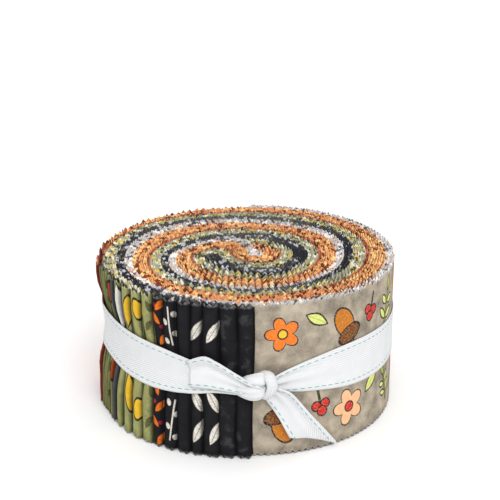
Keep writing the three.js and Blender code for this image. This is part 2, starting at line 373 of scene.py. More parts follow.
def layer_columns(k, level, fine_length):
    """One layer's columns, which stand closer on its last fine_length millimetres."""
    points, turns = layer_path(level, FOLD_ANGLES[k])
    lengths = lengths_along(points)
    scale = tooth_lengths(k, turns, lengths)
    fine_from = np.interp(lengths[-1] - fine_length, lengths, scale)
    fine_step = HALF_TOOTH if k == STRIPS - 1 else HALF_TOOTH / 3
    stations = column_stations(scale, fine_from, fine_step)
    along = np.interp(stations, scale, lengths)
    return {
        "places": np.column_stack([np.interp(along, lengths, points[:, i]) for i in (0, 1)]),
        "lengths": along,
        "notch": notch(stations),
        "fine": stations > fine_from,
        "from_fold": lengths[-1] - along,
    }


def fold_loop(inner_end, outer_end, turn):
    """The fold's rounded edge between the ends of the two layers."""
    onward = np.array([math.cos(math.radians(turn)), math.sin(math.radians(turn))])
    middle = (inner_end + outer_end) / 2
    half = (outer_end - inner_end) / 2
    return np.array([
        middle + half * math.sin(a) + onward * FOLD_REACH * math.cos(a) for a in LOOP_ANGLES
    ])


def strip_columns(k):
    """Columns of strip k from one raw end, round the fold, to the other raw end."""
    exposed = exposed_width(k)
    inner = layer_columns(k, k + LEVEL_OF_INNER_LAYER, RETURN_LENGTH)
    outer = layer_columns(k, k + LEVEL_OF_OUTER_LAYER, exposed + TUCKED_LENGTH)
    from_fold = outer["from_fold"]
    if k == STRIPS - 1:
        puff = FOLD_OPENING * (1 - np.clip(from_fold / SMOOTH_FOLD_LENGTH, 0, 1))
        shade = np.zeros(len(from_fold))
    else:
        puff = rib_profile(from_fold, exposed)
        shade = valley_shade(from_fold, exposed)
    radial = outer["places"] / np.linalg.norm(outer["places"], axis=1)[:, None]
    outer_places = outer["places"] + radial * puff[:, None]
    loop = fold_loop(inner["places"][-1], outer_places[-1], FOLD_ANGLES[k])
    loop_lengths = lengths_along(np.vstack([inner["places"][-1:], loop]))[1:]
    part = np.arange(1, len(loop) + 1) / (len(loop) + 1)
    loop_notch = np.interp(part, [0, 1], [inner["notch"][-1], outer["notch"][-1]])
    nothing = np.zeros(len(inner["lengths"]))
    everywhere = np.ones(len(loop))
    runs = {
        "notch": (inner["notch"], loop_notch, outer["notch"]),
        "fine": (inner["fine"], everywhere, outer["fine"]),
        "past_fold": (
            inner["lengths"] - inner["lengths"][-1],
            loop_lengths,
            FOLD_LENGTH + from_fold,
        ),
        "puff": (nothing, everywhere * FOLD_OPENING, puff),
        "valley": (nothing, everywhere * shade[-1] * FOLD_SHADE, shade),
    }
    columns = {
        name: np.concatenate([first, round_fold, back[::-1]])
        for name, (first, round_fold, back) in runs.items()
    }
    columns["places"] = np.vstack([inner["places"], loop, outer_places[::-1]])
    return columns


columns = strip_columns(5)
print("strip 5 has", len(columns["places"]), "columns,", int(columns["fine"].sum()), "fine")

# %% [markdown]
# Node trees are drawn with one small helper, for geometry and for materials alike. A Value wraps
# a socket, so that an ordinary Python expression adds the Math nodes that it needs.

# %% The node helper
ANY_SOFTNESS = 0.0001


class Value:
    """A node's output, which Python's operators can be used on."""

    def __init__(self, graph, socket):
        self.graph = graph
        self.socket = socket

    def math(self, operation, *others):
        return self.graph.node("ShaderNodeMath", {"operation": operation}, [self, *others])

    def out(self, name):
        return Value(self.graph, self.socket.node.outputs[name])

    def __add__(self, other):
        return self.math("ADD", other)

    def __sub__(self, other):
        return self.math("SUBTRACT", other)

    def __mul__(self, other):
        return self.math("MULTIPLY", other)

    def __truediv__(self, other):
        return self.math("DIVIDE", other)

    def __rsub__(self, other):
        return self.graph.node("ShaderNodeMath", {"operation": "SUBTRACT"}, [other, self])

    def __neg__(self):
        return self.math("MULTIPLY", -1.0)

    __radd__ = __add__
    __rmul__ = __mul__

    def above(self, edge, softness=ANY_SOFTNESS):
        """1 where the value is over edge and 0 where it is under it, with a soft step."""
        low, high = edge - softness, edge + softness
        inputs = {"Value": self, "From Min": low, "From Max": high}
        return self.graph.node("ShaderNodeMapRange", {"clamp": True}, inputs)

    def below(self, edge, softness=ANY_SOFTNESS):
        return 1 - self.above(edge, softness)


class Graph:
    """A node tree and the one method that adds nodes to it."""

    def __init__(self, tree):
        self.tree = tree

    def node(self, kind, settings=None, inputs=(), output=0):
        node = self.tree.nodes.new(kind)
        for name, setting in (settings or {}).items():
            setattr(node, name, setting)
        pairs = inputs.items() if isinstance(inputs, dict) else enumerate(inputs)
        for key, value in pairs:
            if isinstance(value, Value):
                self.tree.links.new(value.socket, node.inputs[key])
            else:
                node.inputs[key].default_value = value
        return Value(self, node.outputs[output]) if len(node.outputs) else node


print("values know", ", ".join(name for name in vars(Value) if not name.startswith("_")))

# %% [markdown]
# A geometry tree needs sockets of its own, which the modifier shows as named inputs, and its
# instances have to be made real at the end, because only plain meshes are handed on.

# %% The start and the end of a geometry tree
def new_geometry_tree(name, inputs):
    """A geometry tree with a Geometry input and output and the named inputs asked for."""
    tree = bpy.data.node_groups.new(name, "GeometryNodeTree")
    sockets = tree.interface
    sockets.new_socket("Geometry", in_out="INPUT", socket_type="NodeSocketGeometry")
    for label, kind in inputs.items():
        sockets.new_socket(label, in_out="INPUT", socket_type=kind)
    sockets.new_socket("Geometry", in_out="OUTPUT", socket_type="NodeSocketGeometry")
    graph = Graph(tree)
    return graph, graph.node("NodeGroupInput")


def finish_tree(graph, geometry, material):
    """Ends a tree in Realize Instances and Set Material."""
    real = graph.node("GeometryNodeRealizeInstances", inputs={"Geometry": geometry})
    painted = graph.node(
        "GeometryNodeSetMaterial", inputs={"Geometry": real, "Material": material}
    )
    graph.node("NodeGroupOutput", inputs=[painted])
    return graph.tree


def named(graph, name, kind="FLOAT"):
    return graph.node("GeometryNodeInputNamedAttribute", {"data_type": kind}, {"Name": name})


print("a tree ends in Realize Instances and Set Material")

# %% [markdown]
# Standing cloth from a path: the path is turned into a curve, a row of points is stood on each of
# its columns, and the top and bottom points are cut back where the blade went. Columns that are
# hidden in the roll need only three rows, so their points are drawn together and welded, and the
# full rows are kept where the strip shows. Geometry Nodes suit this, because every strip follows
# the same rule.

# %% The tree that stands cloth on a path
def standing_cloth_tree():
    """The tree that turns a path of columns into a standing, toothed sheet."""
    graph, given = new_geometry_tree("standing cloth", {
        "Width": "NodeSocketFloat",
        "Tooth Depth": "NodeSocketFloat",
        "Rows": "NodeSocketInt",
        "Weld Distance": "NodeSocketFloat",
        "Cloth": "NodeSocketMaterial",
    })
    curve = graph.node("GeometryNodeMeshToCurve", inputs={"Mesh": given.out("Geometry")})
    curve = graph.node("GeometryNodeSetCurveNormal", {"mode": "Z_UP"}, {"Curve": curve})
    line = graph.node("GeometryNodeCurvePrimitiveLine", inputs={"End": (0.0, 1.0, 0.0)})
    upright = graph.node(
        "GeometryNodeResampleCurve",
        {"mode": "COUNT"},
        {"Curve": line, "Count": given.out("Rows") + 1},
    )
    upright = graph.node(
        "GeometryNodeStoreNamedAttribute",
        {"data_type": "FLOAT", "domain": "POINT"},
        {"Geometry": upright, "Name": "row", "Value": graph.node("GeometryNodeSplineParameter")},
    )
    cloth = graph.node(
        "GeometryNodeCurveToMesh", inputs={"Curve": curve, "Profile Curve": upright}
    )
    row = named(graph, "row")
    fine = named(graph, "fine")
    coarse_row = (row * 2).math("ROUND") / 2
    share = coarse_row + (row - coarse_row) * fine
    cut = named(graph, "notch") * given.out("Tooth Depth")
    height = share * given.out("Width") - cut * share.above(0.999) + cut * share.below(0.001)
    spot = graph.node("GeometryNodeInputPosition")
    flat = graph.node("ShaderNodeSeparateXYZ", inputs=[spot])
    raised = graph.node(
        "ShaderNodeCombineXYZ", inputs=[flat.out("X"), flat.out("Y"), height]
    )
    cloth = graph.node(
        "GeometryNodeSetPosition", inputs={"Geometry": cloth, "Position": raised}
    )
    cloth = graph.node(
        "GeometryNodeMergeByDistance",
        inputs={"Geometry": cloth, "Distance": given.out("Weld Distance")},
    )
    spot = graph.node("GeometryNodeInputPosition")
    flat = graph.node("ShaderNodeSeparateXYZ", inputs=[spot])
    sheet_place = graph.node(
        "ShaderNodeCombineXYZ", inputs=[named(graph, "past_fold"), flat.out("Z"), 0.0]
    )
    cloth = graph.node(
        "GeometryNodeStoreNamedAttribute",
        {"data_type": "FLOAT2", "domain": "CORNER"},
        {"Geometry": cloth, "Name": "UVMap", "Value": sheet_place},
    )
    return finish_tree(graph, cloth, given.out("Cloth"))


STANDING_CLOTH = standing_cloth_tree()
print("the tree has", len(STANDING_CLOTH.nodes), "nodes")

# %% [markdown]
# A tree works on an object, through a modifier. So a path is put on an object for a moment, the
# evaluated result is copied out as a plain mesh, and the object goes again. A modifier's input is
# set by its socket's identifier, which has to be looked up by name.

# %% From a path to a plain mesh
def input_key(tree, label):
    """The identifier of a tree's named input."""
    for item in tree.interface.items_tree:
        if item.item_type == "SOCKET" and item.in_out == "INPUT" and item.name == label:
            return item.identifier
    raise KeyError(label)


def mesh_through_tree(source, tree, settings):
    """The plain mesh that a tree makes of a source mesh."""
    holder = linked("being made", source)
    modifier = holder.modifiers.new("maker", "NODES")
    modifier.node_group = tree
    for label, value in settings.items():
        modifier[input_key(tree, label)] = value
    bpy.context.view_layer.update()
    result = bpy.data.meshes.new_from_object(
        holder.evaluated_get(bpy.context.evaluated_depsgraph_get())
    )
    holder.modifiers.clear()
    bpy.data.objects.remove(holder)
    bpy.data.meshes.remove(source)
    return result


def path_mesh(places, attributes):
    """A line of points joined by edges, with numbers stored on its points."""
    mesh = bpy.data.meshes.new("path")
    corners = [tuple(place) for place in places]
    mesh.from_pydata(corners, [(i, i + 1) for i in range(len(corners) - 1)], [])
    for name, numbers in attributes.items():
        stored = mesh.attributes.new(name, "FLOAT", "POINT")
        stored.data.foreach_set("value", np.asarray(numbers, np.float32))
    return mesh


print("the cloth's width is input", input_key(STANDING_CLOTH, "Width"))

# %% [markdown]
# The tape draws the roll in round its middle, most on the left, where the folds give way, and
# flattens the ribs under it. The roll springs out a little at the back, its front leans, and its
# top is not quite level. All are smooth changes to finished strips, so plain functions of place
# make them, from tables of millimetres at winding angles or radii.

# %% How the strips give way
WAIST = np.array([
    (-360, 0.8), (-330, 0.4), (-270, 0.2), (-210, 0.5), (-180, 1.0), (-130, 2.2),
    (-90, 2.6), (-60, 2.0), (-30, 1.2), (3, 0.8), (40, 0.3),
])
WAIST_MIDDLE = np.array([
    (-357, 32.0), (-308, 33.3), (-250, 33.1), (-210, 34.1), (-170, 35.5), (-130, 37.1),
    (-95, 38.0), (-68, 37.4), (-48, 35.4), (-30, 34.1), (-10, 32.7), (3, 32.0),
])
WAIST_REACH = 22.0
WAIST_DEPTH = (30.0, 58.0)
PRESSED_SHARE = 0.62
PRESSED_REACH = 13.0
HIDDEN_DRAW = 0.35
TOP_RELIEF = np.array([
    (0, 0.1), (9, -0.1), (23, -0.3), (41, 0.1), (52, -0.4), (60, -0.6), (66, -0.7),
])
FRONT_RISE = 0.5
FRONT_LEAN = 1.4
SPRING = np.array([
    (-360, 0.8), (-320, 0.9), (-270, 1.7), (-240, 3.1), (-210, 2.8), (-180, 1.8), (-120, 0.2),
    (-90, -0.8), (-45, 0.1), (3, 0.7), (40, 0.8),
])
HIDDEN_PART = (0.3, 0.7)
RIPPLE_HEIGHT = 0.12
RIPPLE_PITCH = 5.3
SWAY_WIDTH = 0.45
SWAY_PITCH = 11.0
LEAST_PUFF = 0.05
EDGE_PART = 0.4
SIDE_SCATTER = 0.05
TOP_SCATTER = 0.07
MOST_TOP_SCATTER = 0.15
waist_draw = smooth_table(WAIST)
waist_middle = smooth_table(WAIST_MIDDLE)
spring = smooth_table(SPRING)
top_relief = smooth_table(TOP_RELIEF)
random = np.random.default_rng(833)


def waist(angle, z):
    """How far the side is drawn in at an angle from the front and a height."""
    turn = np.where(angle > 3, angle - 360, angle)
    away = np.clip(np.abs(z - waist_middle(turn)) / WAIST_REACH, 0, 1)
    return waist_draw(turn) * (0.5 + 0.5 * np.cos(math.pi * away))


def uneven_top(around, radius):
    """How far the top dips, after handling, at angles in radians and radii."""
    return 0.15 * np.sin(around * 2 + 0.7) + 0.1 * np.sin(around * 5 + radius / 6)


def give_way(places, fine, puff, settle):
    """Moves a strip's points as the tape, the winding and handling have moved the cloth."""
    radius = np.hypot(places[:, 0], places[:, 1])
    angle = np.degrees(np.arctan2(places[:, 0], -places[:, 1])) % 360
    height = places[:, 2]
    up = height / STRIP_WIDTH
    low, high = WAIST_DEPTH
    depth = np.clip((radius - low) / (high - low), 0, 1)
    middle = (up > HIDDEN_PART[0]) & (up < HIDDEN_PART[1])
    hidden = np.where((fine < 0.5) & middle, HIDDEN_DRAW, 0)
    turn = np.where(angle > 3, angle - 360, angle)
    facing_front = (0.5 + 0.5 * np.cos(np.radians(angle))) ** 2
    lean = FRONT_LEAN * facing_front * (0.5 - up)
    draw = (waist(angle, height) + hidden - spring(turn) - lean) * depth
    pressed = 1 / (1 + ((height - waist_middle(turn)) / PRESSED_REACH) ** 8)
    ripple = RIPPLE_HEIGHT * np.sin(height / RIPPLE_PITCH + settle["phase"])
    radius = radius - draw + puff * (ripple - PRESSED_SHARE * pressed)
    sway = SWAY_WIDTH * np.sin(height / SWAY_PITCH + settle["phase"]) * (puff > LEAST_PUFF)
    angle = angle + np.degrees(sway / np.maximum(radius, 5))
    around = np.radians(angle)
    fall = top_relief(radius) + settle["fall"] + uneven_top(around, radius)
    fall -= FRONT_RISE * facing_front * depth
    height = height - up * fall + (1 - up) * settle["lift"]
    moved = np.column_stack([radius * np.sin(around), -radius * np.cos(around), height])
    edge = np.abs(up - 0.5) > EDGE_PART
    moved[:, :2] += random.normal(0, SIDE_SCATTER, (len(moved), 2)) * edge[:, None]
    rise = random.normal(0, TOP_SCATTER, len(moved))
    moved[:, 2] += np.clip(rise, -MOST_TOP_SCATTER, MOST_TOP_SCATTER) * (up > 0.5)
    return moved


print("the tape draws the left in by", round(float(waist(-90.0, 38.0)), 1), "mm")

# %% [markdown]
# A strip is made in one go. Its path goes through the tree, its points are moved as above, and a
# Solidify modifier gives the cloth its thickness. Solidify can give the other side and the rim
# materials of their own, which suits cotton that is printed on one side. Only what shows is
# shaded smooth, so that each wound-in tooth catches the light by itself.

# %% A strip as a piece
STANDING_ROWS = 14
CLOTH_THICKNESS = 0.2
WELD_DISTANCE = 0.01


def thickened(piece, thickness):
    """The modifier that gives a sheet its thickness, half of it on each side."""
    thick = piece.modifiers.new("thickness", "SOLIDIFY")
    thick.thickness = thickness * MM
    thick.offset = 0
    return thick


def attribute_values(mesh, name):
    """A number of each of a mesh's points."""
    values = np.zeros(len(mesh.vertices), np.float32)
    mesh.attributes[name].data.foreach_get("value", values)
    return values


def make_strip(k, cloths, slide):
    """Strip k as standing cloth, with its print outside, its paler reverse and raw edges."""
    columns = strip_columns(k)
    count = len(columns["places"])
    places = np.column_stack([columns["places"], np.zeros(count)]) * MM
    source = path_mesh(places, {
        "notch": columns["notch"],
        "fine": columns["fine"],
        "puff": columns["puff"],
        # valley: how much shade is painted in the valleys between the ribs.
        "valley": columns["valley"],
        "past_fold": (columns["past_fold"] + slide) * MM,
    })
    mesh = mesh_through_tree(source, STANDING_CLOTH, {
        "Width": STRIP_WIDTH * MM,
        "Tooth Depth": TOOTH_DEPTH * MM,
        "Rows": STANDING_ROWS,
        "Weld Distance": WELD_DISTANCE * MM,
        "Cloth": cloths[0],
    })
    points = np.zeros(len(mesh.vertices) * 3)
    mesh.vertices.foreach_get("co", points)
    settle = {
        "phase": random.uniform(0, 2 * math.pi),
        "fall": random.uniform(-0.4, 0.1),
        "lift": random.uniform(0, 0.12),
    }
    moved = give_way(
        points.reshape(-1, 3) / MM,
        attribute_values(mesh, "fine"),
        attribute_values(mesh, "puff"),
        settle,
    )
    mesh.vertices.foreach_set("co", (moved * MM).ravel())
    mesh.name = f"strip_{k:02d}"
    mesh.materials.clear()
    for cloth in cloths:
        mesh.materials.append(cloth)
    shown = attribute_values(mesh, "fine") > 0.5
    mesh.polygons.foreach_set("use_smooth", [shown[p.vertices[0]] for p in mesh.polygons])
    strip = linked(mesh.name, mesh)
    thick = thickened(strip, CLOTH_THICKNESS)
    thick.material_offset = 1
    thick.material_offset_rim = 2
    return strip


print("a strip stands in", STANDING_ROWS, "rows where it shows")

# %% [markdown]
# The tape is pulled tight, so in plan it takes the shortest line round the roll: it bridges the
# hollows between the ribs and the step at the outermost fold. That line is found at several
# heights, as the hull of the roll's outline there.

# %% The line that the tape takes
PRESSED_RIB = 1.1
TAPE_OFFSET = 0.3
SEAT_STEP = 4.0
SEAT_HEIGHTS = np.arange(0, 64, SEAT_STEP)
SEAT_ANGLES = np.arange(0, 360, 1.0)
OUTLINE_ANGLES = np.arange(-357.25, 2.75, 0.5)


def outline_radius(turn):
    """The radius of the ribs' crests, or of the outermost strip, at winding angles."""
    present = (np.array(FOLD_ANGLES)[:, None] >= turn[None, :] - 0.01).sum(axis=0)
    rib = np.where(present < STRIPS, PRESSED_RIB, 0)
    return inner_face(turn) + present * strip_thickness(turn) + rib + spring(turn)


def hull(points):
    """The corners of the shortest line round some plan points, anticlockwise."""
    order = points[np.lexsort((points[:, 1], points[:, 0]))]

    def half(run):
        kept = []
        for point in run:
            while len(kept) > 1 and np.cross(kept[-1] - kept[-2], point - kept[-1]) <= 0:
                kept.pop()
            kept.append(point)
        return kept[:-1]

    return np.array(half(order) + half(order[::-1]))


def radii_on(corners, angles):
    """How far out the line through the corners lies at angles from the front, in degrees."""
    around = np.radians(angles)
    at = np.arctan2(corners[:, 0], -corners[:, 1]) % (2 * math.pi)
    order = np.argsort(at)
    at, far = at[order], np.hypot(*corners[order].T)
    at = np.concatenate([at[-1:] - 2 * math.pi, at, at[:1] + 2 * math.pi])
    far = np.concatenate([far[-1:], far, far[:1]])
    i = np.clip(np.searchsorted(at, around, side="right") - 1, 0, len(at) - 2)
    a, b, near, next_one = at[i], at[i + 1], far[i], far[i + 1]
    sines = near * np.sin(around - a) + next_one * np.sin(b - around)
    return near * next_one * np.sin(b - a) / sines


def seat_table():
    """The tape's line round the roll at each height, as radii."""
    turns = OUTLINE_ANGLES
    crest = outline_radius(turns)
    rows = []
    for z in SEAT_HEIGHTS:
        corners = hull(polar(turns, crest - waist(turns % 360, np.full(len(turns), z))))
        rows.append(radii_on(corners, SEAT_ANGLES))
    return np.array(rows)


SEAT = seat_table()


def seat(angle, z):
    """The radius at which the tape lies on the roll, at angles and heights."""
    angle, z = np.broadcast_arrays(np.asarray(angle, float) % 360, np.asarray(z, float))
    row = np.clip(z / SEAT_STEP, 0, len(SEAT_HEIGHTS) - 1.001)
    r, c = row.astype(int), angle.astype(int)
    dr, dc = row - r, angle - c
    wrap = (c + 1) % len(SEAT_ANGLES)
    low = SEAT[r, c % len(SEAT_ANGLES)] * (1 - dc) + SEAT[r, wrap] * dc
    high = SEAT[r + 1, c % len(SEAT_ANGLES)] * (1 - dc) + SEAT[r + 1, wrap] * dc
    return low * (1 - dr) + high * dr + TAPE_OFFSET


def in_space(angle, radius, z):
    """Points at angles from the front in degrees, radii and heights."""
    turn = np.radians(angle)
    return np.stack([radius * np.sin(turn), -radius * np.cos(turn), z], axis=-1)


print("the tape's seat at the front and left:", seat([0, 270], [33, 33]).round(1))

# %% [markdown]
# A length of tape is a thin sheet. Each row of its table is one line across the tape, from its
# lower edge to its upper one. The band's rows give an angle and two heights. The rows of the ends
# give an angle and a height for each edge, and how far the line stands off its seat.

# %% Where the tape runs
TAPE_WIDTH = 19.0
TAPE_THICKNESS = 0.35
BAND_START, BAND_END = 5.0, 361.0
BAND = np.array([
    (5.0, 28.6, 33.4), (10.0, 28.2, 34.6), (15.0, 27.3, 36.6), (20.0, 26.7, 38.5),
    (25.0, 26.2, 40.0), (30.0, 25.6, 41.2), (40.0, 24.3, 42.6), (52.0, 23.6, 43.0),
    (70.0, 23.4, 42.4), (110.0, 23.6, 42.6), (150.0, 24.6, 43.6), (190.0, 26.0, 45.0),
    (230.0, 27.6, 46.6), (265.0, 28.6, 47.4), (292.0, 28.2, 46.6), (302.0, 26.9, 45.8),
    (312.0, 25.8, 45.0), (330.0, 25.2, 43.0), (342.0, 26.4, 40.0), (350.0, 27.8, 37.5),
    (356.0, 28.2, 35.5), (361.0, 28.8, 34.2),
])
RIGHT_END = np.array([
    (5.2, 29.4, 11.5, 31.0, 2.6), (6.9, 26.6, 15.8, 28.4, 1.9), (9.6, 21.8, 19.4, 23.8, 1.3),
    (12.4, 16.4, 23.4, 17.8, 1.0), (14.3, 12.0, 28.6, 10.4, 0.9), (15.8, 8.6, 34.2, 2.2, 0.8),
])
LEFT_END = np.array([
    (365.5, 29.2, 365.5, 33.2, 3.0), (361.5, 29.2, 361.5, 34.8, 3.1),
    (358.0, 29.3, 358.4, 36.6, 2.2), (355.0, 29.3, 355.0, 38.7, 1.3), (350.5, 29.5, 350.0, 41.8, 0.8),
    (346.0, 29.6, 345.6, 43.4, 0.7), (341.0, 29.7, 339.6, 40.7, 0.9),
])
print("the band is", round(float((BAND[:, 2] - BAND[:, 1]).max()), 1), "mm high at its widest")

# %% [markdown]
# Between the rows of its table the tape runs smoothly. Its mesh is a plain grid, laid on the
# seat, and the grid keeps the cloth's own lengths and widths as its UV map, so that the weave and
# the stitches follow the tape and not the roll.

# %% Sheets of tape
TAPE_COLUMNS = 25
KNOT_LIFT = 2.6
KNOT_LIFT_REACH = 13


def grid_mesh(name, places, lengths, widths, cloths):
    """A sheet through a grid of places, with the cloth's own lengths and widths as its UV map."""
    rows, size = places.shape[:2]
    i, j = np.meshgrid(np.arange(rows - 1), np.arange(size - 1), indexing="ij")
    corner = (i * size + j).ravel()
    faces = np.column_stack([corner, corner + size, corner + size + 1, corner + 1])
    mesh = bpy.data.meshes.new(name)
    mesh.from_pydata((places.reshape(-1, 3) * MM).tolist(), [], faces.tolist())
    flat = np.column_stack([np.repeat(lengths, size), np.tile(widths, rows)]) * MM
    layer = mesh.uv_layers.new(name="UVMap")
    layer.data.foreach_set("uv", flat[faces.ravel()].ravel())
    for cloth in cloths:
        mesh.materials.append(cloth)
    mesh.polygons.foreach_set("use_smooth", [True] * len(mesh.polygons))
    return linked(name, mesh)


def tape_places(lines, stations, across, shape):
    """Points of a length of tape: lines across it, each from its lower to its upper edge."""
    share = (stations - lines[0, 0]) / (lines[-1, 0] - lines[0, 0])
    read = smooth_table(lines)(stations)
    angle = read[:, 0:1] + (read[:, 2:3] - read[:, 0:1]) * across
    z = read[:, 1:2] + (read[:, 3:4] - read[:, 1:2]) * across
    along = np.broadcast_to(share[:, None], angle.shape)
    lift = read[:, 4:5] + shape(along, np.broadcast_to(across, angle.shape))
    return in_space(angle, seat(angle, z) + lift, z)


def make_tape(name, lines, count, shape, cloths):
    """A length of tape, from lines with a station number in their first column."""
    across = np.linspace(0, 1, TAPE_COLUMNS)
    stations = np.linspace(lines[0, 0], lines[-1, 0], count)
    places = tape_places(lines, stations, across, shape)
    lengths = lengths_along(places[:, TAPE_COLUMNS // 2])
    piece = grid_mesh(name, places, lengths, across * TAPE_WIDTH, cloths)
    thickened(piece, TAPE_THICKNESS)
    return piece


def numbered(lines):
    """A table with its rows' numbers as its first column."""
    return np.column_stack([np.arange(len(lines)), lines])


def band_lines():
    """The band's lines across, lifted where its ends run into the knot."""
    angle, low, high = BAND.T
    to_knot = np.minimum(angle - BAND_START, BAND_END - angle)
    lift = KNOT_LIFT * np.clip(1 - to_knot / KNOT_LIFT_REACH, 0, 1) ** 2
    return np.column_stack([angle, angle, low, angle, high, lift])


print("the band has", len(band_lines()), "lines across it")

# %% [markdown]
# A knot gathers the tape, so pleats fan out from it and die away along the tape. Each length has
# a function of how far along and across it a spot is, from 0 to 1, that says how far the cloth is
# lifted there. All use the same wave across the tape.

# %% Pleats
def pleats(across, count, start):
    """Waves across the tape, from 0 to 1."""
    return 0.5 - 0.5 * np.cos(2 * math.pi * (count * across + start))


def band_pleats(along, across):
    """Folds that fan out from the knot into the band, on both of its sides."""
    angle = BAND_START + along * (BAND_END - BAND_START)
    right = np.exp(-((angle - BAND_START) / 13))
    left = np.exp(-((BAND_END - angle) / 10))
    return 1.3 * right * pleats(across, 2.6, 0.15) + 1.2 * left * pleats(across, 3.1, 0.4)


def right_end_shape(along, across):
    """The hanging end: gathered at the knot, and a little curled where it was cut."""
    gathered = np.exp(-along / 0.4)
    curl = 1.4 * along * (across - 0.45) ** 2 * 4
    wave = 0.8 * along * np.sin(2 * math.pi * across + 1.2)
    folds = 2.0 * gathered * pleats(across, 2.6, 0.1)
    return folds + curl + wave + 0.35 * np.sin(3 * math.pi * along)


def left_end_shape(along, across):
    """The end that lies on the band: its upper edge is rolled where it leaves the knot."""
    near = np.exp(-along / 0.5)
    roll = np.exp(-(((across - 0.8) / 0.16) ** 2))
    folds = pleats(across, 2.6, 0.3)
    tilt = 0.9 * np.sin(2 * math.pi * across + 0.6) * along
    return near * (1.3 * roll + 1.9 * folds) + 0.5 * along * across**2 + tilt


print("the band's pleats lift", round(float(band_pleats(0.0, 0.5)), 1), "mm at the knot")

# %% [markdown]
# The knot is the same tape, drawn up so tightly that it lies in soft rolls: one turn that goes
# down over the front, and the two parts of the tape that it grips. Each roll is swept along a
# short route, with an oval section, and a few creases run along it.

# %% The knot's rolls
KNOT_ROUTES = {
    "wrap": np.array([
        (5.2, 33.0, 0.6, 1.5, 0.7), (6.4, 36.3, 2.2, 2.0, 0.9), (8.2, 36.2, 4.2, 2.4, 1.1),
        (9.1, 32.9, 5.2, 2.6, 1.2), (8.5, 29.4, 4.6, 2.5, 1.1), (7.0, 27.3, 3.0, 2.3, 1.0),
        (5.0, 28.0, 1.0, 1.7, 0.7),
    ]),
    "lower": np.array([
        (-4.5, 30.6, 0.9, 1.8, 0.4), (-1.8, 29.9, 2.0, 2.5, 1.1), (1.0, 29.5, 3.1, 3.1, 1.5),
        (3.6, 29.8, 3.8, 3.5, 1.7), (5.8, 30.7, 3.7, 3.1, 1.6), (7.6, 31.8, 2.6, 1.9, 1.1),
    ]),
    "upper": np.array([
        (-1.4, 33.3, 1.0, 1.1, 0.5), (0.8, 34.8, 2.4, 1.7, 1.0), (3.4, 35.3, 3.4, 2.3, 1.4),
        (5.8, 35.4, 3.7, 2.6, 1.4), (7.8, 34.8, 3.0, 1.8, 1.1),
    ]),
}
KNOT_CREASES = {"wrap": 5, "lower": 4, "upper": 3}
CREASE_DEPTH = 0.2
ROLL_ROWS = 40
ROLL_SIDES = 28
KNOT_CORE = in_space(BAND_START, seat(BAND_START, 31.0) - 2.0, 31.5)


def make_roll(name, route, creases, cloths):
    """A soft roll of gathered tape along a route of angle, height, lift and half sizes."""
    stations = np.linspace(0, len(route) - 1, ROLL_ROWS)
    angle, z, lift, half_width, half_depth = smooth_table(numbered(route))(stations).T
    middle = in_space(angle, seat(angle, z) + lift, z)
    onward = np.gradient(middle, axis=0)
    onward /= np.linalg.norm(onward, axis=1)[:, None]
    outward = middle - KNOT_CORE
    outward -= (outward * onward).sum(axis=1)[:, None] * onward
    outward /= np.linalg.norm(outward, axis=1)[:, None]
    sideways = np.cross(onward, outward)
    around = np.linspace(0, 2 * math.pi, ROLL_SIDES, endpoint=False)
    ends = np.sqrt(np.clip(1 - (2 * stations / stations[-1] - 1) ** 6, 0.02, 1))
    crease = np.cos(creases * around * 2 + stations[:, None]) * (np.sin(around) > 0)
    across = (half_width * ends)[:, None] * np.cos(around)
    out = (half_depth * ends)[:, None] * np.sin(around) + CREASE_DEPTH * ends[:, None] * crease
    places = middle[:, None] + sideways[:, None] * across[..., None]
    places = places + outward[:, None] * out[..., None]
    rows, size = places.shape[:2]
    lengths = np.repeat(lengths_along(middle), size)
    bm = bmesh.new()
    corners = [bm.verts.new(place) for place in places.reshape(-1, 3) * MM]
    sheet_map = bm.loops.layers.uv.new("UVMap")
    for row in range(rows - 1):
        for i in range(size):
            a, b = row * size + i, row * size + (i + 1) % size
            ring = [(a, i), (b, i + 1), (b + size, i + 1), (a + size, i)]
            face = bm.faces.new([corners[at] for at, _ in ring])
            face.smooth = True
            for loop, (at, turn) in zip(face.loops, ring):
                loop[sheet_map].uv = (lengths[at] * MM, TAPE_WIDTH * turn / size * MM)
    for row in (0, rows - 1):
        bm.faces.new(corners[row * size:(row + 1) * size])
    bmesh.ops.recalc_face_normals(bm, faces=bm.faces)
    mesh = bpy.data.meshes.new(name)
    bm.to_mesh(mesh)
    bm.free()
    for cloth in cloths:
        mesh.materials.append(cloth)
    return linked(name, mesh)


print("the knot has", len(KNOT_ROUTES), "rolls")

# %% [markdown]
# A running stitch of teal thread follows each edge of the tape, two millimetres in. A second tree
# sets one small flat stitch at every step of a line: it lies along the line, and faces the way
# that the tape faces there.

# %% A tree for stitches
STITCH_PITCH = 3.1
STITCH_HALF_SIZE = (1.12, 0.19, 0.06)


